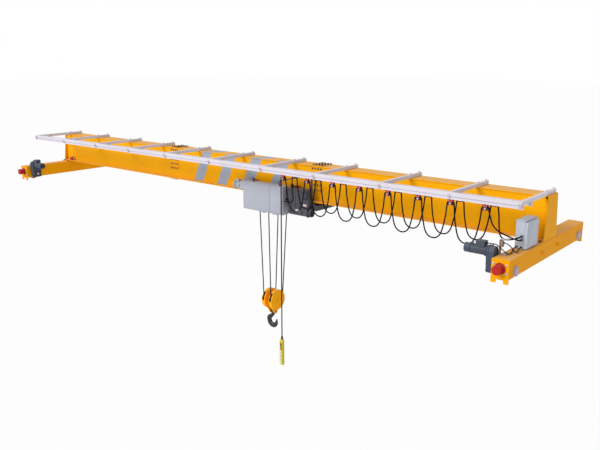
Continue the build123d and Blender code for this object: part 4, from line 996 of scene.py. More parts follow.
@dataclass(frozen=True)
class HexBolt:
    """Hexagon head on a washer, with or without the end of a stud."""

    across: float = 0.024
    height: float = 0.012
    washer: float = 0.018
    stud: float = 0.0
    washer_height: float = 0.003

    def pattern(self) -> Object:
        """Model one head about the origin, pointing up.

        Returns:
            The pattern.
        """
        foot, top = self.washer_height, self.washer_height + self.height
        head = Bench.disc("head", (0, 0, foot), (0, 0, top), self.across / math.sqrt(3), 6)
        Bench.inset(head, UP, self.across * 0.08, self.across * 0.05)
        parts = [head, Bench.disc("washer", (0, 0, 0), (0, 0, foot), self.washer, 16)]
        if self.stud:
            end = Bench.disc("stud", (0, 0, top), (0, 0, top + self.stud), self.across * 0.26, 10)
            parts.append(Bench.inset(end, UP, self.across * 0.05, self.across * 0.03))
        return Bench.join("bolt_pattern", parts)


@dataclass(frozen=True)
class Screw:
    """Slotted pan-head screw."""

    radius: float = 0.006
    height: float = 0.003

    def pattern(self) -> Object:
        """Model one screw head about the origin, pointing up.

        Returns:
            The pattern.
        """
        head = Bench.disc("screw", (0, 0, 0), (0, 0, self.height), self.radius, 12)
        return Bench.step(head, UP, self.radius * 0.35, -self.height * 0.4)


@dataclass(frozen=True)
class FanGrille:
    """Wire grille of a motor's fan cowl: round hoops and four crossing wires."""

    hoops: tuple[float, ...] = (0.018, 0.033, 0.048)
    bar: float = 0.004
    sides: int = 32
    reach: float = 0.052
    wire: float = 0.0018
    edge: float = 0.0006
    first_turn: float = 22.0

    def parts(self, centre: Point, behind: float = 0.0) -> list[Object]:
        """Model the grille round a point on the motor's axis.

        Args:
            centre: Middle of the hoops.
            behind: How far the wires lie behind the hoops.

        Returns:
            The pieces.
        """
        parts = [Bench.ring("hoop", centre, ALONG, radius, self.bar, self.sides) for radius in self.hoops]
        x, y, z = centre
        for number in range(4):
            turn = math.radians(45 * number + self.first_turn)
            dy, dz = self.reach * math.cos(turn), self.reach * math.sin(turn)
            start, end = (x - behind, y - dy, z - dz), (x - behind, y + dy, z + dz)
            parts.append(Bench.soften(Bench.disc("wire", start, end, self.wire, 8), self.edge, 1))
        return parts


@dataclass(frozen=True)
class Nipple:
    """Stepped cap with a grease nipple on it."""

    radius: float
    sides: int
    shoulders: Outline
    height: float = 0.004
    edge: float = 0.0008

    def pattern(self) -> Object:
        """Model one cap about the origin, pointing up."""
        body = ("nipple", (0, 0, 0), (0, 0, self.height), self.radius, self.sides)
        return Bench.knob(*body, *self.shoulders, edge=self.edge, steps=1)


Fastener = HexBolt | Screw | Nipple


@dataclass
class Studio:
    """Camera, lamps, world and floor."""

    lens: float = 41.139
    eye: Point = (8.296, -8.408, 2.5055)
    dip: float = 13.904
    swing: float = 39.984
    sensor: float = 36.0
    farthest: float = 400.0
    floor_height: float = -6.6
    floor_size: float = 500.0
    floor_tone: float = 0.86
    floor_glow: float = 0.9
    sky: float = 0.66
    sun: float = 1.85
    sun_width: float = 25.0
    sun_way: Point = (0.30, 1.0, -0.62)

    def camera(self) -> None:
        """Set the camera where the photographer's stood."""
        data = bpy.data.cameras.new("camera")
        data.lens = self.lens
        data.sensor_width = self.sensor
        data.clip_end = self.farthest
        camera = bpy.data.objects.new("camera", data)
        camera.location = self.eye
        camera.rotation_euler = (math.radians(90 - self.dip), 0, math.radians(self.swing))
        bpy.context.scene.collection.objects.link(camera)
        bpy.context.scene.camera = camera

    @staticmethod
    def _background_ray(board: Board) -> Socket:
        """Mask of the rays that see the plain white backdrop.

        Args:
            board: Board of the world or floor.

        Returns:
            The socket with the mask.
        """
        rays = board.add("ShaderNodeLightPath").outputs
        seen = board.maths("MAXIMUM", rays["Is Camera Ray"], rays["Is Glossy Ray"])
        return board.maths("MAXIMUM", seen, rays["Is Transmission Ray"])

    def world(self) -> None:
        """Light the crane from a plain white sky."""
        world = bpy.data.worlds.new("sky")
        bpy.context.scene.world = world
        world.use_nodes = True
        board = Board(world.node_tree)
        background = world.node_tree.nodes["Background"]
        background.inputs["Color"].default_value = (1.0, 1.0, 1.0, 1.0)
        strength = board.remap(self._background_ray(board), 0.0, 1.0, self.sky, 1.0)
        board.feed(background.inputs["Strength"], strength)

    def lamps(self) -> None:
        """Add one broad sun from the left front."""
        data = bpy.data.lights.new("sun", "SUN")
        data.energy = self.sun
        data.angle = math.radians(self.sun_width)
        sun = bpy.data.objects.new("sun", data)
        sun.rotation_euler = Vector(self.sun_way).to_track_quat("-Z", "Y").to_euler()
        bpy.context.scene.collection.objects.link(sun)

    def floor(self) -> None:
        """Lay a plain pale floor far below the hook."""
        bpy.ops.object.select_all(action="DESELECT")
        bpy.ops.mesh.primitive_plane_add(size=self.floor_size, location=(0, 0, self.floor_height))
        floor = Bench.settle("floor")
        made = bpy.data.materials.new("pale_floor")
        made.use_nodes = True
        board = Board(made.node_tree)
        shader = made.node_tree.nodes["Principled BSDF"]
        shader.inputs["Base Color"].default_value = (*(self.floor_tone,) * 3, 1.0)
        shader.inputs["Roughness"].default_value = 0.9
        shader.inputs["Specular IOR Level"].default_value = 0.1
        glow = board.add("ShaderNodeEmission")
        glow.inputs["Color"].default_value = (1.0, 1.0, 1.0, 1.0)
        mixed = board.add("ShaderNodeMixShader")
        board.feed(mixed.inputs[0], board.maths("MULTIPLY", self._background_ray(board), self.floor_glow))
        board.feed(mixed.inputs[1], shader.outputs[0])
        board.feed(mixed.inputs[2], glow.outputs[0])
        board.feed(made.node_tree.nodes["Material Output"].inputs["Surface"], mixed.outputs[0])
        floor.data.materials.append(made)
        floor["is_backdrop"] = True


@dataclass
class Cables:
    """Every cable of the crane: festoon loops, last runs, pendant, feed and drive leads."""

    shop: PaintShop
    thickness: float = 0.018
    lead_thickness: float = 0.012
    count: int = 7
    pitch: float = 0.457
    first: float = 1.673
    clamp: float = 4.872
    front: float = -0.895
    rear: float = -0.640
    top: float = 0.764
    drop: float = 0.500
    loop_saddle: Outline = ((0.0, 0.0), (0.028, 0.001), (0.047, -0.020), (0.050, -0.060))
    drop_saddle: Outline = ((0.0, 0.0), (0.028, 0.001), (0.045, -0.020), (0.046, -0.085))

    def route(self, name: str, points: Sequence[Point], thickness: float) -> Object:
        """Lay one smooth cable along a route.

        Args:
            name: Name of the cable.
            points: Control points of its line.
            thickness: Diameter of the cable.

        Returns:
            The curve object.
        """
        data = bpy.data.curves.new(name, "CURVE")
        data.dimensions = "3D"
        spline = data.splines.new("NURBS")
        spline.points.add(len(points) - 1)
        for point, place in zip(spline.points, points):
            point.co = (*place, 1.0)
        spline.order_u = 3
        spline.use_endpoint_u = True
        data.resolution_u = 12
        data.bevel_depth = thickness / 2
        data.bevel_resolution = 5
        data.use_fill_caps = True
        cable = bpy.data.objects.new(name, data)
        bpy.context.scene.collection.objects.link(cable)
        self.shop.coat(cable, "cable_sheath")
        return cable

    def as_mesh(self, cable: Object) -> tuple[Object, list[Point]]:
        """Turn a cable into a mesh tube and read the line that it follows.

        Args:
            cable: The curve object.

        Returns:
            The mesh tube and the points of its line.
        """
        depth = cable.data.bevel_depth
        cable.data.bevel_depth = 0.0
        bpy.context.view_layer.update()
        line = bpy.data.meshes.new_from_object(cable)
        path = [tuple(vertex.co) for vertex in line.vertices]
        cable.data.bevel_depth = depth
        Bench.only(cable)
        bpy.ops.object.convert(target="MESH")
        bpy.ops.object.shade_smooth_by_angle(angle=math.radians(50))
        return bpy.context.active_object, path

    def over(self, x: float, y: float, way: float, saddle: Outline) -> list[Point]:
        """Points where a cable rises over a carrier's saddle and turns down.

        Args:
            x: Middle of the carrier.
            y: Middle of the rail.
            way: The way that the cable leaves, 1 to the right and -1 to the left.
            saddle: Distance from the middle and from the saddle's top of each point.

        Returns:
            The points, from the middle outwards.
        """
        return [(x + way * dx, y, self.top + dz) for dx, dz in saddle]

    def loop(self, label: str, number: int, y: float) -> None:
        """Hang one loop between two neighbouring carriers."""
        x = self.first + self.pitch * number
        end = x + self.pitch
        low = self.top - self.drop
        middle = self.top - 0.5 * self.drop
        points = self.over(x, y, 1, self.loop_saddle)
        points += [(x + 0.068, y, middle), (x + 0.134, y, low)]
        points += [(end - 0.134, y, low), (end - 0.068, y, middle)]
        points += reversed(self.over(end, y, -1, self.loop_saddle))
        piece, path = self.as_mesh(self.route(f"festoon_loop_{label}_{number}", points, self.thickness))
        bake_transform(piece)
        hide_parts(f"festoon_cable_{label}")

    def last_run(self, label: str, points: Sequence[Point]) -> None:
        """Lead one festoon cable from the fixed clamp into the cabinet."""
        cable = self.route(f"festoon_end_{label}", points, self.thickness)
        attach(cable, "bridge")
        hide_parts(f"festoon_cable_{label}")

    def festoon(self) -> None:
        """Hang all the loops and both last runs."""
        for number in range(self.count):
            self.loop("front", number, self.front)
            self.loop("rear", number, self.rear)
        front = self.over(self.clamp, self.front, 1, self.loop_saddle) + [
            (4.936, -0.896, 0.656), (4.973, -0.898, 0.553), (5.034, -0.896, 0.497),
            (5.105, -0.892, 0.466), (5.182, -0.890, 0.443), (5.236, -0.869, 0.420),
            (5.266, -0.825, 0.400), (5.270, -0.772, 0.385), (5.270, -0.727, 0.384),
        ]
        self.last_run("front", front)
        rear = self.over(self.clamp, self.rear, 1, self.loop_saddle) + [
            (4.944, -0.655, 0.613), (4.970, -0.696, 0.494), (5.012, -0.760, 0.418),
            (5.068, -0.816, 0.388), (5.130, -0.842, 0.386), (5.184, -0.840, 0.396),
            (5.223, -0.822, 0.407), (5.252, -0.792, 0.417), (5.270, -0.764, 0.425),
            (5.270, -0.727, 0.426),
        ]
        self.last_run("rear", rear)

    def pendant(self) -> None:
        """Hang the pendant from the first carrier."""
        x, y = self.first, self.front
        points = self.over(x, y, -1, self.drop_saddle) + [
            (x - 0.045, y, 0.40), (x - 0.047, y, -0.20), (x - 0.046, y, -0.90),
            (x - 0.047, y, -1.50), (x - 0.046, y, -1.78), (x - 0.046, y, -1.858),
        ]
        cable = self.route("pendant_line", points, self.thickness)
        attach(cable, "carrier_0")
        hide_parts("pendant_cable")

    def feed(self) -> None:
        """Lead the rear cable from the first carrier into the hoist panel."""
        x, y = self.first, self.rear
        points = self.over(x, y, -1, self.drop_saddle) + [
            (x - 0.046, y, 0.560), (x - 0.060, y + 0.028, 0.445), (x - 0.104, y + 0.095, 0.350),
            (x - 0.186, y + 0.168, 0.288), (x - 0.284, y + 0.228, 0.256),
            (x - 0.376, -0.375, 0.250), (1.230, -0.375, 0.250),
        ]
        cable = self.route("hoist_feed", points, self.thickness)
        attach(cable, "trolley")
        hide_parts("hoist_feed_cable")

    def leads(self) -> None:
        """Lead the motor and switch cables into the foot of the cabinet."""
        motor = [
            (5.0005, -1.086, 0.379), (5.062, -1.086, 0.379), (5.128, -1.096, 0.386),
            (5.188, -1.100, 0.348), (5.230, -1.078, 0.300), (5.254, -1.030, 0.273),
            (5.254, -0.965, 0.268), (5.238, -0.895, 0.268), (5.218, -0.830, 0.277),
            (5.213, -0.772, 0.291), (5.213, -0.723, 0.292),
        ]
        switch = [
            (5.1865, -1.035, 0.400), (5.228, -1.035, 0.400), (5.268, -1.022, 0.368),
            (5.288, -0.985, 0.316), (5.292, -0.925, 0.277), (5.288, -0.862, 0.268),
            (5.279, -0.806, 0.277), (5.270, -0.763, 0.292), (5.270, -0.723, 0.292),
        ]
        for name, points, length in (("motor_lead", motor, 0.61), ("switch_lead", switch, 0.42)):
            cable = self.route(name, points, self.lead_thickness)
            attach(cable, "bridge")
            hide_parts("drive_cables")

    def build(self) -> None:
        """Lay every cable."""
        self.festoon()
        self.pendant()
        self.feed()
        self.leads()


@dataclass
class Assembly:
    """One sub-assembly of the crane, with the body that carries most of its fittings."""

    shop: PaintShop
    body: str = "bridge"

    def put(self, name: str, parts: Sequence[Object], finish: str, body: str = "") -> None:
        """Join parts into one piece, coat it and fix it to its body."""
        self.shop.fit(Bench.join(name, parts), finish, body or self.body)

    def fasten(self, name: str, kind: Fastener, places: list[Place], finish: str, body: str = "") -> None:
        """Repeat a fastener at its places, coat the set and fix it to its body."""
        self.shop.fit(Bench.spread(name, kind.pattern(), places), finish, body or self.body)


@dataclass
class Girder(Assembly):
    """Box girder in three bolted lengths."""

    splices: tuple[float, float] = (-1.7, 1.7)
    columns: tuple[float, ...] = (-0.084, -0.030, 0.030, 0.084)
    rows: tuple[float, ...] = (0.455, 0.535, 0.615)
    head_row: float = 0.789
    foot_half: float = 0.146
    head_half: float = 0.135
    foot_height: float = 0.284
    head_height: float = 0.820
    plate: float = 0.008
    length: float = 10.7
    stop_x: float = 5.105
    stop_y: float = 0.1835

    def web(self, height: float) -> float:
        """Distance of the web's outer face from the middle at a height."""
        share = (height - self.foot_height) / (self.head_height - self.foot_height)
        return self.foot_half + (self.head_half - self.foot_half) * share

    def stations(self) -> list[float]:
        """Places of all the splice bolts along the girder."""
        return [splice + column for splice in self.splices for column in self.columns]

    def web_nuts(self) -> None:
        """Nuts on washers over both splices, on the two webs."""
        places = []
        for x in self.stations():
            for way in SIDES:
                for row in self.rows:
                    places.append(((x, way * (self.web(row) + self.plate), row), (0, way, 0.02)))
                places.append(((x, way * self.web(self.head_row), self.head_row), (0, way, 0.02)))
        nut = HexBolt(across=0.0240, height=0.0090, washer=0.0160, stud=0.0020)
        self.fasten("web_splice_nuts", nut, places, "motor_paint")

    def cover_nuts(self) -> None:
        """Nuts with stud ends on the top plate and under the bottom flange."""
        places = []
        for x in self.stations():
            places += [((x, y, 0.840), UP) for y in (-0.109, -0.041, 0.041, 0.109)]
            places += [((x, y, 0.260), DOWN) for y in (-0.161, -0.060, 0.060, 0.161)]
        nut = HexBolt(across=0.0275, height=0.0110, washer=0.0200, stud=0.0040)
        self.fasten("cover_splice_nuts", nut, places, "black_oxide")

    def weld_beads(self) -> None:
        """Fillet welds where the webs meet the flange and the top plate."""
        half, joint = self.length / 2 - 0.014, self.splices[1]
        spans = ((-half, -joint - 0.002), (0.002 - joint, joint - 0.002), (joint + 0.002, half))
        beads = [
            Bench.bead((start, way * y, z), (end, way * y, z), radius, 0.002)
            for way in SIDES
            for start, end in spans
            for y, z, radius in ((0.1475, 0.2855, 0.0065), (0.1365, 0.8185, 0.005))
        ]
        self.put("girder_weld_beads", beads, "girder_paint")

    def end_welds(self) -> None:
        """Welds round the closing plates and along the top plate's ends."""
        beads = []
        for side in SIDES:
            x = side * (self.length / 2 - 0.012)
            beads.append(Bench.bead((x, -0.149, 0.834), (x, 0.149, 0.834), 0.004))
            beads += [Bench.bead((x, way * 0.1485, 0.290), (x, way * 0.1375, 0.815), 0.004) for way in SIDES]
        self.put("closing_plate_welds", beads, "girder_paint")

    def stop_bolts(self) -> None:
        """Bolts and caps of the trolley's end stops."""
        places, caps = [], []
        for side, way in CORNERS:
            x, y = side * self.stop_x, way * self.stop_y
            places += [((x + dx, y, 0.348), UP) for dx in (-0.016, 0.016)]
            face = x - side * 0.062
            cap = Bench.disc("cap", (face, y, 0.316), (face - side * 0.012, y, 0.316), 0.020, 24)
            caps.append(Bench.soften(cap, 0.004, 3))
        self.fasten("stop_bolts", HexBolt(across=0.014, height=0.007, washer=0.010), places, "zinc_plate")
        self.put("stop_caps", caps, "zinc_plate")

    def build(self) -> None:
        """Dress the girder and add its fastenings and welds."""
        self.shop.dress("girder_paint", "girder_left", "girder_right")
        self.shop.dress("girder_paint", "girder_closing_plates", "girder_splices")
        self.shop.dress("banded_girder_paint", "girder_middle")
        self.shop.dress("signal_paint", "trolley_stops")
        self.web_nuts()
        self.cover_nuts()
        self.weld_beads()
        self.end_welds()
        self.stop_bolts()


@dataclass
class EndTrucks(Assembly):
    """Both end trucks with wheels, bearing covers and buffers."""

    centre: float = 5.25
    half_width: float = 0.1075
    half_length: float = 1.235
    wheel_y: float = 1.055
    wheel_z: float = 0.100
    buffer_z: float = 0.150
    seam: float = 0.0045

    def buffer_bolts(self) -> None:
        """Four plated bolts beside each buffer."""
        places = [
            ((side * self.centre + dx, way * self.half_length, self.buffer_z + dz), (0, way, 0))
            for side, way in CORNERS
            for dx in (-0.078, 0.078)
            for dz in (-0.050, 0.050)
        ]
        bolt = HexBolt(across=0.020, height=0.010, washer=0.0145, stud=0.004)
        self.fasten("buffer_bolts", bolt, places, "zinc_plate")

    def buffer_ribs(self) -> None:
        """Moulded rings round each elastomer buffer."""
        rings = []
        for side, way in CORNERS:
            for reach, radius in ((0.030, 0.0455), (0.055, 0.0470), (0.082, 0.0535)):
                centre = (side * self.centre, way * (self.half_length + reach), self.buffer_z)
                rings.append(Bench.ring("rib", centre, FAR, radius, 0.010, 36))
        self.put("buffer_ribs", rings, "buffer_rubber")

    def cover_bolts(self) -> None:
        """Hexagon bolts and grease nipples on the bearing covers."""
        places, nipples = [], []
        for side in SIDES:
            for way, out in ((-1, side), (1, side), (1, -side)):
                x, y, z = side * self.centre, way * self.wheel_y, self.wheel_z
                places += Bench.circle((x + out * (self.half_width + 0.018), y, z), 0.056, 6, out)
                nipples.append(((x + out * (self.half_width + 0.021), y, z), (out, 0, 0)))
        bolt = HexBolt(across=0.0155, height=0.006, washer=0.0085)
        self.fasten("bearing_cover_bolts", bolt, places, "plated_fitting")
        nipple = Nipple(0.020, 24, ((0.004, 0.003), (0.009, 0.006), (0.002, 0.004)))
        self.fasten("grease_nipples", nipple, nipples, "plated_fitting")

    def joint_bolts(self) -> None:
        """Large bolts that tie girder and truck, on the trucks' outer faces, and bolts of the seats."""
        places, seats = [], []
        for side, way in CORNERS:
            x = side * self.centre
            places.append(((x + side * (self.half_width + 0.008), way * 0.260, 0.140), (side, 0, 0)))
            seats += [((x + dx, way * 0.249, 0.268), UP) for dx in (-0.070, 0.0, 0.070)]
        bolt = HexBolt(across=0.038, height=0.014, washer=0.026, stud=0.006)
        self.fasten("girder_joint_bolts", bolt, places, "truck_paint")
        bolt = HexBolt(across=0.024, height=0.012, washer=0.018, stud=0.005)
        self.fasten("girder_seat_bolts", bolt, seats, "black_oxide")

    def welds(self) -> None:
        """Fillet welds where the boxes meet their end plates and seats."""
        beads = []
        for side, way in CORNERS:
            x, y = side * self.centre, way * (self.half_length - 0.013)
            for edge in (x - self.half_width - 0.001, x + self.half_width + 0.001):
                beads.append(Bench.bead((edge, y, 0.036), (edge, y, 0.244), self.seam))
            for line in (y, way * 0.281):
                beads.append(Bench.bead((x - 0.096, line, 0.257), (x + 0.096, line, 0.257), self.seam))
        self.put("truck_weld_beads", beads, "truck_paint")

    def build(self) -> None:
        """Dress the trucks and add their fittings."""
        self.shop.dress("truck_paint", "end_truck_left", "end_truck_right")
        for side in ("left", "right"):
            self.shop.dress("wheel_paint", f"bridge_wheel_{side}_near", f"bridge_wheel_{side}_far")
        self.shop.dress("buffer_rubber", "truck_buffers")
        self.shop.dress("hub_paint", "hub_covers")
        self.buffer_bolts()
        self.buffer_ribs()
        self.cover_bolts()
        self.joint_bolts()
        self.welds()


@dataclass
class TravelDrives(Assembly):
    """Motor and gear case on the near wheel of each truck, and the limit switch post."""

    cowl_end: float = 4.7445
    case_face: float = 5.0305
    axis_y: float = -1.096
    axis_z: float = 0.290
    wheel_y: float = -1.055
    wheel_z: float = 0.100
    eye_x: float = 4.842
    lead_z: float = 0.379
    post_y: float = -1.035

    def cowl_grille(self, side: int) -> list[Object]:
        """Wire grille on a motor's fan cowl.

        Args:
            side: Which truck, -1 for the left one and 1 for the right one.

        Returns:
            The pieces.
        """
        x, y, z = side * (self.cowl_end - 0.002), self.axis_y, self.axis_z
        hub = Bench.disc("hub", (x + side * 0.003, y, z), (x - side * 0.003, y, z), 0.010)
        return FanGrille().parts((x, y, z)) + [Bench.soften(hub, 0.002)]

    def motor_fittings(self, side: int) -> list[Object]:
        """Terminal box lid, lifting eye and cowl bands of one motor.

        Args:
            side: Which truck, -1 for the left one and 1 for the right one.

        Returns:
            The pieces.
        """
        y, z, eye_x = self.axis_y, self.axis_z, side * self.eye_x
        low, high = (side * 4.887, -1.146, 0.393), (side * 5.004, -1.046, 0.402)
        lid = Bench.plate("lid", low, high, UP, 0.010, 0.003, 0.0025)
        eye = Bench.ring("eye", (eye_x, y, 0.362), ALONG, 0.014, 0.006, 24)
        foot = Bench.soften(Bench.disc("foot", (eye_x, y, 0.345), (eye_x, y, 0.354), 0.012, 16), 0.002)
        band = Bench.ring("band", (side * 4.8145, y, z), ALONG, 0.0595, 0.004, 40)
        rim = Bench.ring("rim", (side * 4.747, y, z), ALONG, 0.0555, 0.007, 40)
        return [lid, eye, foot, band, rim]

    def case_fittings(self, side: int) -> list[Object]:
        """Ribs, breather and wheel collar of one gear case.

        Args:
            side: Which truck, -1 for the left one and 1 for the right one.

        Returns:
            The pieces.
        """
        parts = []
        for x in (5.052, 5.078, 5.104):
            for near, far in ((-1.1455, -1.130), (-0.980, -0.9645)):
                low, high = (side * (x - 0.003), near, 0.052), (side * (x + 0.003), far, 0.176)
                parts.append(Bench.soften(Bench.slab("rib", low, high), 0.0022))
        start, end = (side * 5.09, self.axis_y, 0.352), (side * 5.09, self.axis_y, 0.372)
        parts.append(Bench.knob("breather", start, end, 0.010, 6, (0.003, 0.006), edge=0.001))
        centre = (side * (self.case_face - 0.001), self.wheel_y, self.wheel_z)
        parts.append(Bench.ring("collar", centre, ALONG, 0.0655, 0.006, 40))
        return parts

    def fixings(self) -> None:
        """Bolts of the cases and motor flanges, axle caps and the terminal box screws."""
        bolts, plated, screws = [], [], []
        y, z = self.wheel_y, self.wheel_z
        for side in SIDES:
            back = (-side, 0, 0)
            flange = (side * (self.case_face - 0.014), self.axis_y, self.axis_z)
            bolts += Bench.circle(flange, 0.0645, 4, -side)
            face = side * (self.case_face + 0.001)
            bolts += [((face, by, bz), back) for bz in (0.054, 0.150) for by in (-1.121, -0.989)]
            bolts += Bench.circle((side * (self.case_face - 0.005), y, z), 0.052, 6, -side)
            start, end = (side * (self.case_face - 0.004), y, z), (side * (self.case_face - 0.009), y, z)
            plated.append(Bench.knob("cap", start, end, 0.024, 28, (0.007, 0.004), edge=0.0015))
            bolts.append(((side * 5.079, y, 0.0365), DOWN))
            screws += [((side * x, sy, 0.402), UP) for x in (4.892, 4.999) for sy in (-1.141, -1.051)]
        bolt = HexBolt(across=0.0145, height=0.007, washer=0.0095)
        self.fasten("gear_case_bolts", bolt, bolts, "black_oxide")
        self.put("axle_caps", plated, "plated_fitting")
        self.fasten("terminal_box_screws", Screw(0.0035, 0.002), screws, "zinc_plate")

    def glands(self) -> None:
        """Plastic glands where the leads leave the motors, and the oil sights of the cases."""
        glands, panes = [], []
        for side in SIDES:
            start, end = (side * 5.0005, -1.086, self.lead_z), (side * 5.011, -1.086, self.lead_z)
            glands.append(Bench.knob("gland", start, end, 0.0155, 6, (0.004, 0.008), edge=0.001))
            start, end = (side * 5.031, -0.9905, 0.103), (side * 5.0275, -0.9905, 0.103)
            panes.append(Bench.knob("oil", start, end, 0.011, 24, (0.003, -0.0015), edge=0.0006))
        self.put("motor_glands", glands, "black_rubber")
        self.put("oil_sights", panes, "oil_glass")

    def limit_switch(self) -> None:
        """Roller lever, cover, foot bolts and gland of the limit switch."""
        y = self.post_y
        arm = Bench.slab("arm", (5.160, y - 0.006, 0.440), (5.226, y + 0.006, 0.4445))
        arm = Bench.soften(Bench.extrude(arm, ALONG, (0.016, 0.0, 0.010)), 0.0012)
        boss = Bench.soften(Bench.disc("boss", (5.1695, y, 0.436), (5.1695, y, 0.449), 0.0115, 20), 0.002)
        roller = Bench.disc("roller", (5.243, y - 0.009, 0.456), (5.243, y + 0.009, 0.456), 0.011, 28)
        roller = Bench.soften(Bench.step(roller, NEAR, 0.004, -0.002), 0.0008)
        self.put("switch_lever", [arm, boss, roller], "hub_paint")
        low, high = (5.1555, -1.058, 0.356), (5.1835, -1.054, 0.418)
        self.put("switch_cover", [Bench.plate("cover", low, high, NEAR, 0.003, 0.0015, 0.001)], "post_paint")
        places = [((x, foot, 0.264), UP) for x in (5.200, 5.222) for foot in (-1.058, -1.012)]
        self.fasten("post_bolts", HexBolt(across=0.012, height=0.006, washer=0.009), places, "zinc_plate")
        start, end = (5.1855, y, 0.400), (5.194, y, 0.400)
        gland = Bench.knob("gland", start, end, 0.0125, 6, (0.003, 0.006), edge=0.0008)
        self.put("switch_gland", [gland], "black_rubber")

    def build(self) -> None:
        """Dress the drives and add their fittings."""
        self.shop.dress("motor_paint", "travel_gearcases", "travel_motors")
        self.shop.dress("post_paint", "limit_switch_post")
        parts: list[Object] = []
        grilles: list[Object] = []
        for side in SIDES:
            parts += self.motor_fittings(side) + self.case_fittings(side)
            grilles += self.cowl_grille(side)
        self.put("drive_fittings", parts, "motor_paint")
        self.put("fan_cowl_grilles", grilles, "black_oxide")
        self.fixings()
        self.glands()
        self.limit_switch()


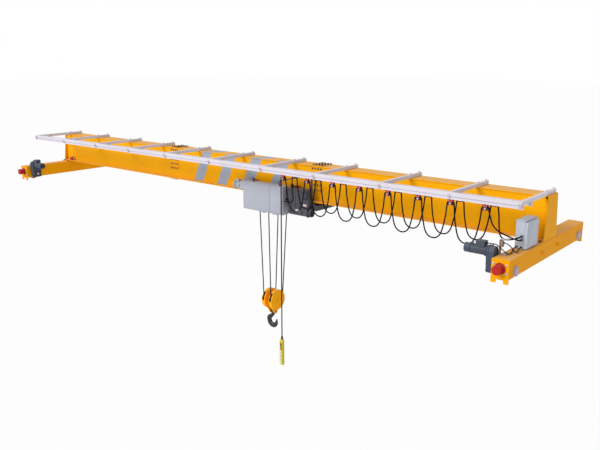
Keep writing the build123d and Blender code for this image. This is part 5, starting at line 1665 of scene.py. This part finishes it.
@dataclass
class FestoonFrame(Assembly):
    """Cross arms, edge beam and cable rails, with the carriers that run in them."""

    arms: tuple[float, ...] = (
        *(-5.180, -4.155, -3.060, -2.040, -1.020),
        *(0.085, 1.235, 2.260, 3.375, 4.395, 5.300),
    )
    rails: tuple[float, float] = (-0.895, -0.640)
    ends: tuple[float, float] = (-5.205, 5.325)
    tube_low: float = 0.833
    tube_high: float = 0.881
    carriers: int = 7
    first: float = 1.673
    pitch: float = 0.457
    clamp: float = 4.872

    def arm_bolts(self) -> None:
        """Bolts that hold the arms to the girder's top plate."""
        places = [((x, y, 0.8895), UP) for x in self.arms for y in (-0.120, 0.110)]
        bolt = HexBolt(across=0.019, height=0.007, washer=0.013, stud=0.002)
        self.fasten("arm_bolts", bolt, places, "hub_paint")

    def beam_cleats(self) -> None:
        """Cleats with a bolt where each arm meets the edge beam."""
        plates, bolts = [], []
        for x in self.arms:
            low, high = (x - 0.021, -0.9465, 0.822), (x + 0.021, -0.9400, 0.868)
            plates.append(Bench.plate("cleat", low, high, NEAR, 0.006, 0.0015, 0.0012))
            bolts.append(((x, -0.9475, 0.845), NEAR))
        self.put("beam_cleats", plates, "festoon_paint")
        self.fasten("cleat_bolts", HexBolt(across=0.018, height=0.008, washer=0.012), bolts, "hub_paint")

    def rail_brackets(self) -> None:
        """Cheeks on both sides of the two rails, where they hang from the arms."""
        brackets, bolts = [], []
        for x in self.arms:
            for y in self.rails:
                for way in SIDES:
                    low, high = (x - 0.017, y + way * 0.0222, 0.799), (x + 0.017, y + way * 0.0245, 0.8330)
                    brackets.append(Bench.plate("cheek", low, high, (0, way, 0), 0.004, 0.0006, 0.0006))
                    bolts.append(((x, y + way * 0.0249, 0.814), (0, way, 0)))
        self.put("rail_brackets", brackets, "festoon_paint")
        bolt = HexBolt(across=0.012, height=0.006, washer=0.0085)
        self.fasten("rail_bracket_bolts", bolt, bolts, "zinc_plate")

    def tube_caps(self) -> None:
        """Plastic caps in the open ends of the beam and arms, and end plates on the rails."""
        caps, plates = [], []
        for end, way in zip(self.ends, SIDES):
            out, face = end + way * 0.004, (way, 0, 0)
            low, high = (end, -0.934, self.tube_low), (out, -0.886, self.tube_high)
            caps.append(Bench.plate("cap", low, high, face, 0.008, 0.0015, 0.0012))
            for y in self.rails:
                low, high = (end, y - 0.024, 0.786), (out, y + 0.024, 0.8315)
                plates.append(Bench.plate("plate", low, high, face, 0.006, 0.001, 0.001))
        for x in self.arms:
            low, high = (x - 0.024, 0.145, self.tube_low), (x + 0.024, 0.149, self.tube_high)
            caps.append(Bench.plate("cap", low, high, FAR, 0.008, 0.0015, 0.0012))
        self.put("tube_end_caps", caps, "festoon_paint")
        self.put("rail_end_plates", plates, "festoon_paint")

    @staticmethod
    def carrier_plated() -> Object:
        """Bolts and bearing caps of one carrier, about its own middle.

        Returns:
            The pattern.
        """
        places = [((dx, way * 0.018, 0.767), (0, way, 0)) for way in SIDES for dx in (-0.018, 0.018)]
        parts = [Bench.spread("bolts", HexBolt(across=0.009, height=0.004, washer=0.006).pattern(), places)]
        for way in SIDES:
            start, end = (0, way * 0.0175, 0.738), (0, way * 0.0215, 0.738)
            parts.append(Bench.knob("cap", start, end, 0.0135, 24, (0.004, 0.0015), edge=0.0008))
        return Bench.join("carrier_plated", parts)

    @staticmethod
    def carrier_red() -> Object:
        """Red retaining straps over the saddle of one carrier, with their lugs.

        Returns:
            The pattern.
        """
        parts = []
        for way in SIDES:
            y = way * 0.0205
            strap = Bench.slab("strap", (-0.027, y - 0.0025, 0.7175), (0.027, y + 0.0025, 0.7245))
            y = way * 0.0195
            lug = Bench.slab("lug", (-0.0035, y - 0.002, 0.722), (0.0035, y + 0.002, 0.764))
            parts += [Bench.soften(strap, 0.0012), Bench.soften(lug, 0.0010)]
        return Bench.join("carrier_red", parts)

    @staticmethod
    def carrier_black() -> Object:
        """Cable ties and rubber bumpers of one carrier, about its own middle.

        Returns:
            The pattern.
        """
        parts = []
        for way in SIDES:
            parts.append(Bench.ring("tie", (way * 0.0465, 0, 0.704), (0.05 * way, 0, 1), 0.0112, 0.005, 20))
            start, end = (way * 0.033, 0, 0.780), (way * 0.042, 0, 0.780)
            parts.append(Bench.knob("bumper", start, end, 0.0095, 20, (0.0025, 0.002), edge=0.0012))
        return Bench.join("carrier_black", parts)

    def carrier_fittings(self) -> None:
        """Copy the fittings to every carrier and to the fixed clamps."""
        patterns = (
            (self.carrier_plated(), "plated_fitting", "bolts"),
            (self.carrier_red(), "signal_paint", "straps"),
            (self.carrier_black(), "black_rubber", "rubbers"),
        )
        stops = [(self.first + self.pitch * n, f"carrier_{n}", f"carrier_{n}") for n in range(self.carriers)]
        for x, body, label in [*stops, (self.clamp, "bridge", "clamp")]:
            for pattern, finish, kind in patterns:
                pair = [Bench.copy(pattern, Matrix.Translation((x, y, 0))) for y in self.rails]
                self.put(f"{label}_{kind}", pair, finish, body)
        for pattern, _, _ in patterns:
            bpy.data.objects.remove(pattern)

    def build(self) -> None:
        """Dress the frame and its carriers and add their fittings."""
        self.shop.dress("festoon_paint", "festoon_arms", "festoon_beam", "festoon_rails")
        moving = [f"festoon_carrier_{number}" for number in range(self.carriers)]
        self.shop.dress("carrier_finish", "festoon_clamps", *moving)
        self.arm_bolts()
        self.beam_cleats()
        self.rail_brackets()
        self.tube_caps()
        self.carrier_fittings()


@dataclass
class Cabinet(Assembly):
    """Control cabinet on the right truck, with its door and what is mounted inside."""

    near: float = -0.705
    far: float = -0.365
    inner: float = 5.185
    outer: float = 5.296
    top: float = 0.608
    door_face: float = 5.328
    bolt_rows: tuple[float, float] = (-0.665, -0.405)
    hinges: tuple[float, float] = (0.285, 0.500)
    gland_x: float = 5.270
    plate_face: float = 5.198

    def hood(self) -> None:
        """Rain hood over the case."""
        low = (self.inner - 0.006, self.near - 0.008, self.top - 0.002)
        high = (self.outer + 0.008, self.far + 0.008, self.top + 0.004)
        self.put("cabinet_hood", [Bench.plate("hood", low, high, UP, 0.010, 0.003, 0.0018)], "cabinet_paint")

    def gland_nuts(self) -> None:
        """Hexagon nuts and collars of the cable glands in the near side."""
        x = self.gland_x
        large, small = (0.0180, 0.022), (0.0135, 0.018)
        glands = ((x, 0.384, *large), (x, 0.426, *large), (5.213, 0.292, *small), (x, 0.292, *small))
        parts = []
        for x, z, radius, reach in glands:
            nut = Bench.disc("nut", (x, self.near, z), (x, self.near - 0.006, z), radius, 6)
            parts.append(Bench.soften(nut, 0.0008, 1))
            parts.append(Bench.ring("collar", (x, self.near - reach, z), FAR, radius * 0.62, 0.005, 24))
        self.put("cabinet_gland_nuts", parts, "black_rubber")

    def feet(self) -> None:
        """Bolts and tabs of the cabinet's foot rails."""
        tabs = []
        for y in self.bolt_rows:
            for x in (5.175, 5.306):
                tab = Bench.slab("tab", (x - 0.014, y - 0.014, 0.2555), (x + 0.014, y + 0.014, 0.2590))
                tabs.append(Bench.soften(Bench.inset(tab, UP, 0.003, 0.0), 0.001))
        places = [((x, y, 0.2588), UP) for x in (5.172, 5.309) for y in self.bolt_rows]
        bolt = HexBolt(across=0.013, height=0.006, washer=0.009)
        self.fasten("cabinet_foot_bolts", bolt, places, "zinc_plate")
        self.put("cabinet_foot_tabs", tabs, "cabinet_paint")

    def door_fittings(self) -> None:
        """Raised field, quarter-turn locks and hinge straps of the door."""
        face = self.door_face
        low, high = (face - 0.001, self.near + 0.046, 0.300), (face + 0.0015, self.far - 0.022, 0.572)
        field_plate = Bench.plate("field", low, high, ALONG, 0.008, 0.002, 0.0012)
        self.put("door_field", [field_plate], "cabinet_paint", "door")
        parts = []
        for z in (0.332, 0.433, 0.534):
            start, end = (face + 0.003, -0.679, z), (face + 0.008, -0.679, z)
            rose = Bench.knob("rose", start, end, 0.0125, 24, (0.004, -0.002), edge=0.0008)
            key = Bench.slab("key", (face + 0.005, -0.6805, z - 0.007), (face + 0.010, -0.6775, z + 0.007))
            parts += [rose, Bench.soften(key, 0.0008)]
        self.put("door_locks", parts, "zinc_plate", "door")
        straps = []
        for z in self.hinges:
            low, high = (face - 0.001, -0.408, z + 0.024), (face + 0.0025, -0.3655, z + 0.046)
            straps.append(Bench.plate("strap", low, high, ALONG, 0.003, 0.0008, 0.0008))
        self.put("door_hinge_straps", straps, "zinc_plate", "door")
        screws = [((face + 0.003, y, z + 0.035), ALONG) for z in self.hinges for y in (-0.400, -0.378)]
        self.fasten("door_strap_screws", Screw(0.0035, 0.002), screws, "black_oxide", "door")

    def door_seal(self) -> None:
        """Rubber seal round the inside of the door."""
        x0, x1, wide = 5.2975, 5.3015, 0.007
        y0, y1, z0, z1 = self.near + 0.008, self.far - 0.008, 0.280, 0.586
        corners = (
            (y0, z0, y1, z0 + wide),
            (y0, z1 - wide, y1, z1),
            (y0, z0 + wide, y0 + wide, z1 - wide),
            (y1 - wide, z0 + wide, y1, z1 - wide),
        )
        strips = [
            Bench.plate("seal", (x0, low_y, low_z), (x1, high_y, high_z), BACK, 0.002, 0.0008, 0.0006)
            for low_y, low_z, high_y, high_z in corners
        ]
        self.put("door_seal", strips, "black_rubber", "door")

    def switchgear(self) -> None:
        """Toggles, terminal screws and wiring ducts on the mounting plate."""
        toggles, screws = [], []
        for z, height, count in ((0.482, 0.070, 5), (0.397, 0.070, 5), (0.312, 0.040, 8)):
            pitch, face = 0.250 / count, self.plate_face + height * 0.7
            for number in range(count):
                y = self.near + 0.045 + pitch * number + (pitch - 0.005) / 2
                if count == 8:
                    screws += [((face, y, z + dz), ALONG) for dz in (0.010, 0.030)]
                    continue
                low, high = (face - 0.002, y - 0.016, z + 0.022), (face + 0.004, y + 0.016, z + 0.048)
                toggles.append(Bench.plate("toggle", low, high, ALONG, 0.005, 0.004, 0.001))
                across = (-0.012, 0.0, 0.012)
                screws += [((face, y + dy, z + dz), ALONG) for dy in across for dz in (0.009, 0.061)]
        self.put("switchgear_toggles", toggles, "black_rubber")
        self.fasten("terminal_screws", Screw(0.0035, 0.002), screws, "zinc_plate")
        ducts = []
        for z in (0.466, 0.381):
            low, high = (5.191, self.near + 0.042, z - 0.008), (5.222, self.far - 0.042, z + 0.008)
            ducts.append(Bench.plate("duct", low, high, ALONG, 0.003, -0.004, 0.0008))
        self.put("wiring_ducts", ducts, "festoon_paint")

    def build(self) -> None:
        """Dress the cabinet and add its fittings."""
        self.shop.dress("cabinet_paint", "cabinet_body", "cabinet_door")
        self.shop.dress("festoon_paint", "cabinet_fittings")
        self.hood()
        self.gland_nuts()
        self.feet()
        self.door_fittings()
        self.door_seal()
        self.switchgear()


@dataclass
class Trolley(Assembly):
    """Underslung trolley: frame, travel drive, control panel and balance block."""

    body: str = "trolley"
    front: float = -0.398
    plate_out: float = 0.244
    panel_left: float = 0.336
    panel_right: float = 1.206
    seam: float = 0.946
    panel_low: float = 0.014
    panel_high: float = 0.478
    axle_z: float = 0.3843
    motor_y: float = -0.316
    bumper_y: float = -0.306
    bumper_z: float = 0.112

    def covers(self, margin: float, gap: float) -> tuple[tuple[float, float], tuple[float, float]]:
        """Left and right limits of both front covers, drawn in by a margin and from the seam by a gap."""
        left, right = self.panel_left + margin, self.panel_right - margin
        return (left, self.seam - gap), (self.seam + gap, right)

    def panel_doors(self) -> None:
        """Two front covers that meet at a seam, with a lip under the right one."""
        covers = []
        for left, right in self.covers(0.014, 0.0035):
            low = (left, self.front - 0.0035, self.panel_low + 0.014)
            high = (right, self.front + 0.001, self.panel_high - 0.014)
            covers.append(Bench.plate("cover", low, high, NEAR, 0.009, 0.0025, 0.0016))
        low = (0.986, self.front + 0.004, self.panel_low - 0.012)
        high = (1.095, self.front + 0.030, self.panel_low + 0.001)
        covers.append(Bench.plate("lip", low, high, NEAR, 0.003, 0.002, 0.002))
        self.put("panel_covers", covers, "panel_paint")

    def panel_screws(self) -> None:
        """Screws at the corners and middles of both front covers."""
        heights = (self.panel_low + 0.026, (self.panel_low + self.panel_high) / 2, self.panel_high - 0.026)
        places = []
        for pair in self.covers(0.026, 0.0155):
            places += [((x, self.front - 0.0060, z), NEAR) for z in heights for x in pair]
        self.fasten("panel_screws", Screw(0.0045, 0.002), places, "panel_paint")

    def panel_louvres(self) -> None:
        """Pressed air slots in the panel's left end and in its underside."""
        slots = []
        for z in [0.330 + 0.018 * number for number in range(6)]:
            low, high = (self.panel_left - 0.004, -0.365, z), (self.panel_left + 0.001, -0.285, z + 0.006)
            slots.append(Bench.plate("louvre", low, high, BACK, 0.0015, 0.0015, 0.0012))
        for x in [0.520 + 0.040 * number for number in range(8)]:
            low, high = (x, -0.360, self.panel_low - 0.004), (x + 0.010, -0.290, self.panel_low + 0.001)
            slots.append(Bench.plate("louvre", low, high, DOWN, 0.002, 0.0015, 0.0012))
        self.put("panel_louvres", slots, "panel_paint")

    def panel_side(self) -> None:
        """Edge strip and cable gland on the panel's right end."""
        right = self.panel_right
        low, high = (right - 0.001, self.front + 0.010, 0.030), (right + 0.0025, self.front + 0.034, 0.462)
        strip = Bench.plate("strip", low, high, ALONG, 0.004, 0.0015, 0.001)
        nut = Bench.disc("nut", (right, -0.375, 0.250), (right + 0.009, -0.375, 0.250), 0.0205, 6)
        collar = Bench.ring("collar", (right + 0.024, -0.375, 0.250), ALONG, 0.0125, 0.006, 24)
        self.put("panel_side_strip", [strip], "hub_paint")
        self.put("panel_gland", [Bench.soften(nut, 0.001, 1), collar], "black_rubber")

    def lifting_rings(self) -> None:
        """Eye rings on top of the panel, and the arm that supports the travel drive."""
        parts = []
        for x in (0.508, 1.090):
            parts.append(Bench.ring("eye", (x, -0.316, 0.512), (0.35, 1, 0), 0.033, 0.013, 32))
            start, end = (x, -0.316, 0.477), (x, -0.316, 0.484)
            parts.append(Bench.knob("foot", start, end, 0.018, 24, (0.006, 0.004), edge=0.0012))
        self.put("lifting_rings", parts, "black_oxide")
        arm = Bench.slab("arm", (0.215, -0.331, 0.455), (0.395, -0.301, 0.4600))
        for offset in ((0.020, 0, 0.021), (0.050, 0, 0.0)):
            arm = Bench.extrude(arm, ALONG, offset)
        self.put("drive_support_arm", [Bench.soften(arm, 0.0015)], "silver_paint")

    def balance_block(self) -> None:
        """Raised field, ribs, junction box, bolts and cable clips of the balance block."""
        low, high = (1.312, -0.3485, 0.088), (1.590, -0.3440, 0.436)
        ribs = [Bench.plate("field", low, high, NEAR, 0.012, 0.003, 0.002)]
        for x in (1.352, 1.440, 1.528):
            low, high = (x - 0.006, -0.3580, 0.110), (x + 0.006, -0.3480, 0.414)
            ribs.append(Bench.plate("rib", low, high, NEAR, 0.002, 0.002, 0.0025))
        self.put("balance_block_ribs", ribs, "hoist_paint")
        box = Bench.plate("box", (1.604, -0.382, 0.345), (1.690, -0.343, 0.452), NEAR, 0.008, 0.003, 0.003)
        start, end = (1.647, -0.363, 0.345), (1.647, -0.363, 0.331)
        gland = Bench.knob("gland", start, end, 0.012, 6, (0.003, 0.008), edge=0.001)
        self.put("junction_box", [box, gland], "motor_paint")
        places = [((x, -0.3475, z), NEAR) for x in (1.3325, 1.5725) for z in (0.102, 0.422)]
        places += [((x, -0.3900, z), NEAR) for x in (1.611, 1.683) for z in (0.356, 0.441)]
        bolt = HexBolt(across=0.015, height=0.007, washer=0.010)
        self.fasten("balance_block_bolts", bolt, places, "black_oxide")
        clips = [
            Bench.plate("clip", (x0, -0.3620, z0), (x1, -0.3440, z1), NEAR, 0.006, 0.004, 0.0025)
            for x0, x1, z0, z1 in ((1.452, 1.540, 0.112, 0.150), (1.604, 1.680, 0.215, 0.250))
        ]
        self.put("cable_clips", clips, "plated_fitting")

    def bumper(self) -> None:
        """Back plate, ribs and face of the rubber buffer on the balance block."""
        y, z = self.bumper_y, self.bumper_z
        low, high = (1.698, -0.372, 0.046), (1.704, -0.2445, 0.178)
        plate = Bench.plate("plate", low, high, ALONG, 0.006, 0.001, 0.001)
        rings = [Bench.ring("rib", (x, y, z), ALONG, 0.0615, 0.006, 40) for x in (1.716, 1.730)]
        face = Bench.knob("face", (1.751, y, z), (1.758, y, z), 0.052, 36, (0.016, -0.003), edge=0.0025)
        rings.append(face)
        self.put("bumper_plate", [plate], "black_oxide")
        self.put("bumper_ribs", rings, "black_rubber")

    def jumper(self) -> None:
        """Short hose from the panel's end to the balance block, and the loops on the block."""
        hose = Bench.disc("hose", (1.204, -0.300, 0.262), (1.276, -0.300, 0.275), 0.011, 20)
        pieces = [Bench.soften(hose, 0.002)]
        for x, z in ((1.212, 0.2635), (1.268, 0.2735)):
            pieces.append(Bench.ring("clip", (x, -0.300, z), (1, 0, 0.18), 0.0125, 0.006, 24))
        pieces.append(Bench.ring("eye", (1.332, -0.300, 0.505), (0.5, 1, 0), 0.032, 0.014, 28))
        pieces.append(Bench.ring("loop", (1.400, -0.330, 0.440), FAR, 0.060, 0.012, 36))
        self.put("jumper_hose", pieces, "black_rubber")

    def drive_fittings(self) -> None:
        """Fins, cowl grille, terminal box and bolts of the travel motor."""
        y, z = self.motor_y, self.axle_z
        fins = []
        for number in range(18):
            fin = Bench.slab("fin", (0.123, -0.0016, 0.058), (0.194, 0.0016, 0.0675))
            turn = Matrix.Rotation(math.radians(20 * number + 10), 4, "X")
            fin.data.transform(Matrix.Translation((0, y, z)) @ turn)
            fins.append(Bench.soften(fin, 0.0009, 1))
        self.put("drive_motor_fins", fins, "silver_paint")
        box = Bench.plate("box", (0.128, -0.352, 0.440), (0.192, -0.280, 0.478), UP, 0.006, 0.003, 0.003)
        band = Bench.ring("band", (0.119, y, z), ALONG, 0.0740, 0.005, 40)
        self.put("drive_terminal_box", [box, band], "silver_paint")
        grille = FanGrille(bar=0.0035, reach=0.050, wire=0.0016, edge=0.0005)
        self.put("drive_cowl_grille", grille.parts((0.0830, y, z), 0.0005), "black_oxide")
        places = [((x, -0.3640, height), NEAR) for x in (0.240, 0.312) for height in (0.336, 0.432)]
        bolt = HexBolt(across=0.013, height=0.006, washer=0.009)
        self.fasten("drive_case_bolts", bolt, places, "zinc_plate")

    def axle_keepers(self) -> None:
        """Keeper plates and bolts over the axle ends on the far side plate."""
        keepers, places = [], []
        for x in (0.440, 1.360):
            low = (x - 0.045, self.plate_out - 0.001, 0.366)
            high = (x + 0.045, self.plate_out + 0.007, 0.4026)
            keepers.append(Bench.plate("keeper", low, high, FAR, 0.005, 0.0012, 0.002))
            places += [((x + dx, self.plate_out + 0.008, self.axle_z), FAR) for dx in (-0.033, 0.033)]
        self.put("axle_keepers", keepers, "hoist_paint")
        bolt = HexBolt(across=0.018, height=0.008, washer=0.012)
        self.fasten("axle_keeper_bolts", bolt, places, "zinc_plate")

    def build(self) -> None:
        """Dress the trolley and add its fittings."""
        self.shop.dress("hoist_paint", "trolley_frame", "counterweight")
        self.shop.dress("silver_paint", "trolley_drive")
        self.shop.dress("panel_paint", "hoist_panel")
        for place in ("near", "far"):
            self.shop.dress("wheel_paint", f"trolley_wheel_{place}_0", f"trolley_wheel_{place}_1")
        self.panel_doors()
        self.panel_screws()
        self.panel_louvres()
        self.panel_side()
        self.lifting_rings()
        self.balance_block()
        self.bumper()
        self.jumper()
        self.drive_fittings()
        self.axle_keepers()


@dataclass
class Hoist(Assembly):
    """Rope drum, gearbox, motor, ropes and return sheave."""

    body: str = "trolley"
    drum_y: float = 0.405
    drum_z: float = 0.060
    hook_x: float = 0.635
    turns: int = 9
    groove_pitch: float = 0.0205

    def rope_turns(self) -> None:
        """Rope lying in the drum's grooves."""
        rings = []
        for middle in (self.hook_x - 0.100, self.hook_x + 0.100):
            for number in range(self.turns):
                x = middle + self.groove_pitch * (number - self.turns // 2)
                rings.append(Bench.ring("turn", (x, self.drum_y, self.drum_z), ALONG, 0.140, 0.0175, 56))
        self.put("rope_turns", rings, "rope_wire")

    def rope_falls(self) -> None:
        """Rope falls copied from the model's ropes, with doubles merged and smooth shading."""
        falls = bpy.data.objects.new("rope_falls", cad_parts["hoist_ropes"].data.copy())
        bpy.context.scene.collection.objects.link(falls)
        Bench.only(falls)
        bpy.ops.object.mode_set(mode="EDIT")
        bpy.ops.mesh.select_all(action="SELECT")
        bpy.ops.mesh.remove_doubles(threshold=0.00005)
        bpy.ops.mesh.normals_make_consistent(inside=False)
        bpy.ops.object.mode_set(mode="OBJECT")
        bpy.ops.object.shade_smooth_by_angle(angle=math.radians(50))
        self.shop.coat(falls, "rope_wire")
        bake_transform(falls)
        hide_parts("hoist_ropes")

    def gearbox_fittings(self) -> None:
        """Flange bolts, ribs, bearing cap and oil sight of the gearbox."""
        y, z = self.drum_y, self.drum_z
        around = ((0.0, -0.118), (0.115, 0.0), (0.0, 0.118), (-0.115, 0.0))
        places = [((1.0375, y + dy, z + dz), ALONG) for dy, dz in around]
        bolt = HexBolt(across=0.019, height=0.009, washer=0.013)
        self.fasten("gearbox_bolts", bolt, places, "zinc_plate")
        parts = []
        for x in [0.915 + 0.024 * number for number in range(5)]:
            rib = Bench.slab("rib", (x - 0.003, y - 0.080, z + 0.130), (x + 0.003, y + 0.080, z + 0.142))
            parts.append(Bench.soften(rib, 0.0022))
        parts.append(Bench.knob("cap", (1.045, y, z), (1.052, y, z), 0.052, 40, (0.014, 0.005), edge=0.002))
        self.put("gearbox_ribs", parts, "hoist_paint")
        start, end = (1.037, y + 0.078, z - 0.060), (1.043, y + 0.078, z - 0.060)
        pane = Bench.knob("pane", start, end, 0.014, 24, (0.004, -0.002), edge=0.0008)
        self.shop.fit(pane, "oil_glass", "trolley")

    def motor_fittings(self) -> None:
        """Cowl grille, terminal box and flange bolts of the hoist motor."""
        y, z = self.drum_y, self.drum_z
        grille = FanGrille(hoops=(0.026, 0.050, 0.074), bar=0.005, sides=36, reach=0.086, wire=0.0022)
        self.put("hoist_cowl_grille", grille.parts((0.0805, y, z), 0.0005), "black_oxide")
        low, high = (0.200, y + 0.088, z - 0.050), (0.320, y + 0.138, z + 0.050)
        box = Bench.plate("box", low, high, FAR, 0.010, 0.004, 0.004)
        rims = [Bench.ring("rim", (x, y, z), ALONG, 0.0995, 0.008, 48) for x in (0.086, 0.160)]
        self.put("hoist_terminal_box", [box, *rims], "motor_paint")
        places = Bench.circle((0.364, y, z), 0.111, 8, -1)
        bolt = HexBolt(across=0.014, height=0.008, washer=0.0085)
        self.fasten("hoist_flange_bolts", bolt, places, "zinc_plate")

    def build(self) -> None:
        """Dress the hoist and add its fittings."""
        self.shop.dress("hoist_paint", "hoist_gearbox")
        self.shop.dress("motor_paint", "hoist_motor")
        self.shop.dress("turned_steel", "rope_drum", "return_sheave")
        self.rope_falls()
        self.rope_turns()
        self.gearbox_fittings()
        self.motor_fittings()


@dataclass
class HookBlock(Assembly):
    """Twin-sheave hook block with its forged hook."""

    body: str = "hook_block"
    x: float = 0.635
    z: float = -1.635
    outer: float = 0.119
    boss: float = 0.012
    seat: float = -1.897

    def cover_fittings(self) -> None:
        """Raised rings, pin caps and bolts on the housings' outer faces."""
        rings, nipples, places = [], [], []
        for way in SIDES:
            face = self.x + way * self.outer
            for radius, bar in ((0.054, 0.010), (0.152, 0.006)):
                rings.append(Bench.ring("ring", (face, 0, self.z), ALONG, radius, bar, 56))
            places += Bench.circle((face - way * 0.001, 0, self.z), 0.098, 6, way)
            nipples.append(((face + way * self.boss, 0, self.z), (way, 0, 0)))
        self.put("block_rings", rings, "block_paint")
        bolt = HexBolt(across=0.012, height=0.005, washer=0.008)
        self.fasten("block_cover_bolts", bolt, places, "block_paint")
        nipple = Nipple(0.014, 20, ((0.008, 0.006), (0.002, 0.004)))
        self.fasten("pin_grease_nipples", nipple, nipples, "block_paint")

    def trunnion_fittings(self) -> None:
        """Retaining plates and bolts over the crosshead's trunnions."""
        plates, places = [], []
        z = self.seat + 0.034
        for way in SIDES:
            face = self.x + way * 0.057
            start, end = (face, 0, z), (face + way * 0.005, 0, z)
            plates.append(Bench.knob("plate", start, end, 0.024, 28, (0.006, 0.002), edge=0.0012))
            places.append(((face + way * 0.007, 0, z), (way, 0, 0)))
        self.put("trunnion_plates", plates, "block_paint")
        bolt = HexBolt(across=0.016, height=0.007, washer=0.011)
        self.fasten("trunnion_bolts", bolt, places, "black_oxide")

    def hook_nut(self) -> None:
        """Washer, nut and shank end that hold the hook over the crosshead."""
        x, low = self.x, self.seat + 0.064
        washer = Bench.soften(Bench.disc("washer", (x, 0, low), (x, 0, low + 0.006), 0.0350, 40), 0.0012)
        start, end = (x, 0, low + 0.006), (x, 0, low + 0.036)
        nut = Bench.knob("nut", start, end, 0.0345, 6, (0.008, 0.004), edge=0.0015)
        start, end = (x, 0, low + 0.040), (x, 0, low + 0.048)
        stud = Bench.knob("stud", start, end, 0.0200, 28, (0.004, 0.002), edge=0.001)
        self.put("hook_nut", [washer, nut, stud], "turned_steel", "hook")

    def add_slot_shade_strips(self) -> None:
        """Dark strips along the walls of the rope slots in both housings, painted shade for the recessed
        slots.
        """
        shade_strips = []
        for way, side in CORNERS:
            lean = Matrix.Rotation(side * -0.16, 4, "X")
            for dx in (-0.0205, 0.0205):
                x = self.x + way * 0.080 + dx
                # Each black strip sits on a slot wall as painted shade.
                shade_strip = Bench.slab("shade_strip", (x - 0.0018, -0.006, 0.0), (x + 0.0018, 0.004, 0.050))
                shade_strip.data.transform(Matrix.Translation((0, side * 0.1690, self.z + 0.012)) @ lean)
                shade_strips.append(Bench.soften(shade_strip, 0.001, 1))
        self.put("rope_slot_shade_strips", shade_strips, "black_oxide")

    def build(self) -> None:
        """Dress the block and the hook and add their fittings."""
        self.shop.dress("block_paint", "block_covers")
        self.shop.dress("sheave_paint", "block_sheaves")
        self.shop.dress("forged_steel", "block_crosshead", "hook")
        self.cover_fittings()
        self.trunnion_fittings()
        self.hook_nut()
        self.add_slot_shade_strips()


class Key(Enum):
    """Kinds of push button on the pendant, with the finish of each."""

    RED = "key_red"
    GREEN = "key_green"
    ORANGE = "key_orange"
    PALE = "key_pale"


@dataclass
class Pendant(Assembly):
    """Push-button pendant on its cable."""

    body: str = "carrier_0"
    x: float = 1.627
    y: float = -0.895
    top: float = -1.830
    half_width: float = 0.034
    half_depth: float = 0.023
    height: float = 0.430
    first_key: float = 0.076
    pitch: float = 0.039
    keys: tuple[Key, ...] = (Key.RED, Key.GREEN, Key.ORANGE) + (Key.PALE,) * 6

    def key_height(self, number: int) -> float:
        """Height of a button's middle, counted from the top one."""
        return self.top - self.first_key - self.pitch * number

    def key_caps(self) -> None:
        """Coloured caps with a shallow finger dish over every button."""
        x, front = self.x, self.y - self.half_depth - 0.009
        for kind in Key:
            caps = []
            for number in [number for number, key in enumerate(self.keys) if key is kind]:
                z, reach = self.key_height(number), 0.002 if number else 0.006
                start, end = (x, front + 0.0085, z), (x, front - reach, z)
                caps.append(Bench.knob("cap", start, end, 0.0144, 28, (0.0042, -0.0012), edge=0.0012))
            self.put(f"{kind.value}_caps", caps, kind.value)

    def collars(self) -> None:
        """Raised collars round the buttons."""
        y = self.y - self.half_depth - 0.001
        heights = [self.key_height(number) for number in range(len(self.keys))]
        rings = [Bench.ring("collar", (self.x, y, z), FAR, 0.0162, 0.0040, 28) for z in heights]
        self.put("button_collars", rings, "pendant_shell")

    def shell_fittings(self) -> None:
        """Guard rails beside the buttons, seam ridge, cable sleeve and back screws."""
        x, y, top = self.x, self.y, self.top
        low, high = top - self.height + 0.030, top - 0.040
        front, back = y - self.half_depth - 0.0045, y - self.half_depth + 0.002
        guards = []
        for way in SIDES:
            edge = x + way * 0.0255
            guard = Bench.slab("guard", (edge - 0.0022, front, low), (edge + 0.0022, back, high))
            side = x + way * (self.half_width - 0.0004)
            foot, head = (side - 0.0010, y - 0.0012, low - 0.010), (side + 0.0010, y + 0.0012, high + 0.010)
            guards += [Bench.soften(guard, 0.0018), Bench.soften(Bench.slab("seam", foot, head), 0.0006, 1)]
        self.put("pendant_guards", guards, "pendant_shell")
        steps = ((0.0020, 0.012), (0.0015, 0.014), (0.0015, 0.016))
        start, end = (x, y, top - 0.001), (x, y, top + 0.010)
        sleeve = [Bench.knob("sleeve", start, end, 0.0185, 28, *steps, edge=0.0012)]
        for dz, radius in ((0.016, 0.0165), (0.030, 0.0150), (0.044, 0.0135)):
            sleeve.append(Bench.ring("rib", (x, y, top + dz), UP, radius, 0.0035, 28))
        self.put("pendant_sleeve", sleeve, "black_rubber")
        drops, rear = (0.050, 0.215, 0.385), y + self.half_depth
        places = [((x + dx, rear, top - drop), FAR) for dx in (-0.024, 0.024) for drop in drops]
        self.fasten("pendant_screws", Screw(0.0045, 0.002), places, "zinc_plate")

    def build(self) -> None:
        """Dress the pendant and add its buttons and fittings."""
        self.shop.dress("pendant_shell", "pendant_housing")
        self.shop.dress("key_pale", "pendant_buttons")
        self.key_caps()
        self.collars()
        self.shell_fittings()


def main() -> None:
    """Build the studio, the cables and every sub-assembly, and report each piece."""
    logging.basicConfig(level=logging.INFO, format="%(message)s")
    studio = Studio()
    studio.camera()
    shop = PaintShop()
    Cables(shop).build()
    for assembly in (
        Girder(shop),
        EndTrucks(shop),
        TravelDrives(shop),
        FestoonFrame(shop),
        Cabinet(shop),
        Trolley(shop),
        Hoist(shop),
        HookBlock(shop),
        Pendant(shop),
    ):
        assembly.build()
    studio.world()
    studio.lamps()
    studio.floor()
    bpy.context.scene.view_settings.view_transform = "Standard"
    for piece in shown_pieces():
        LOG.info("piece %s", piece.name)


if __name__ == "__main__":
    main()
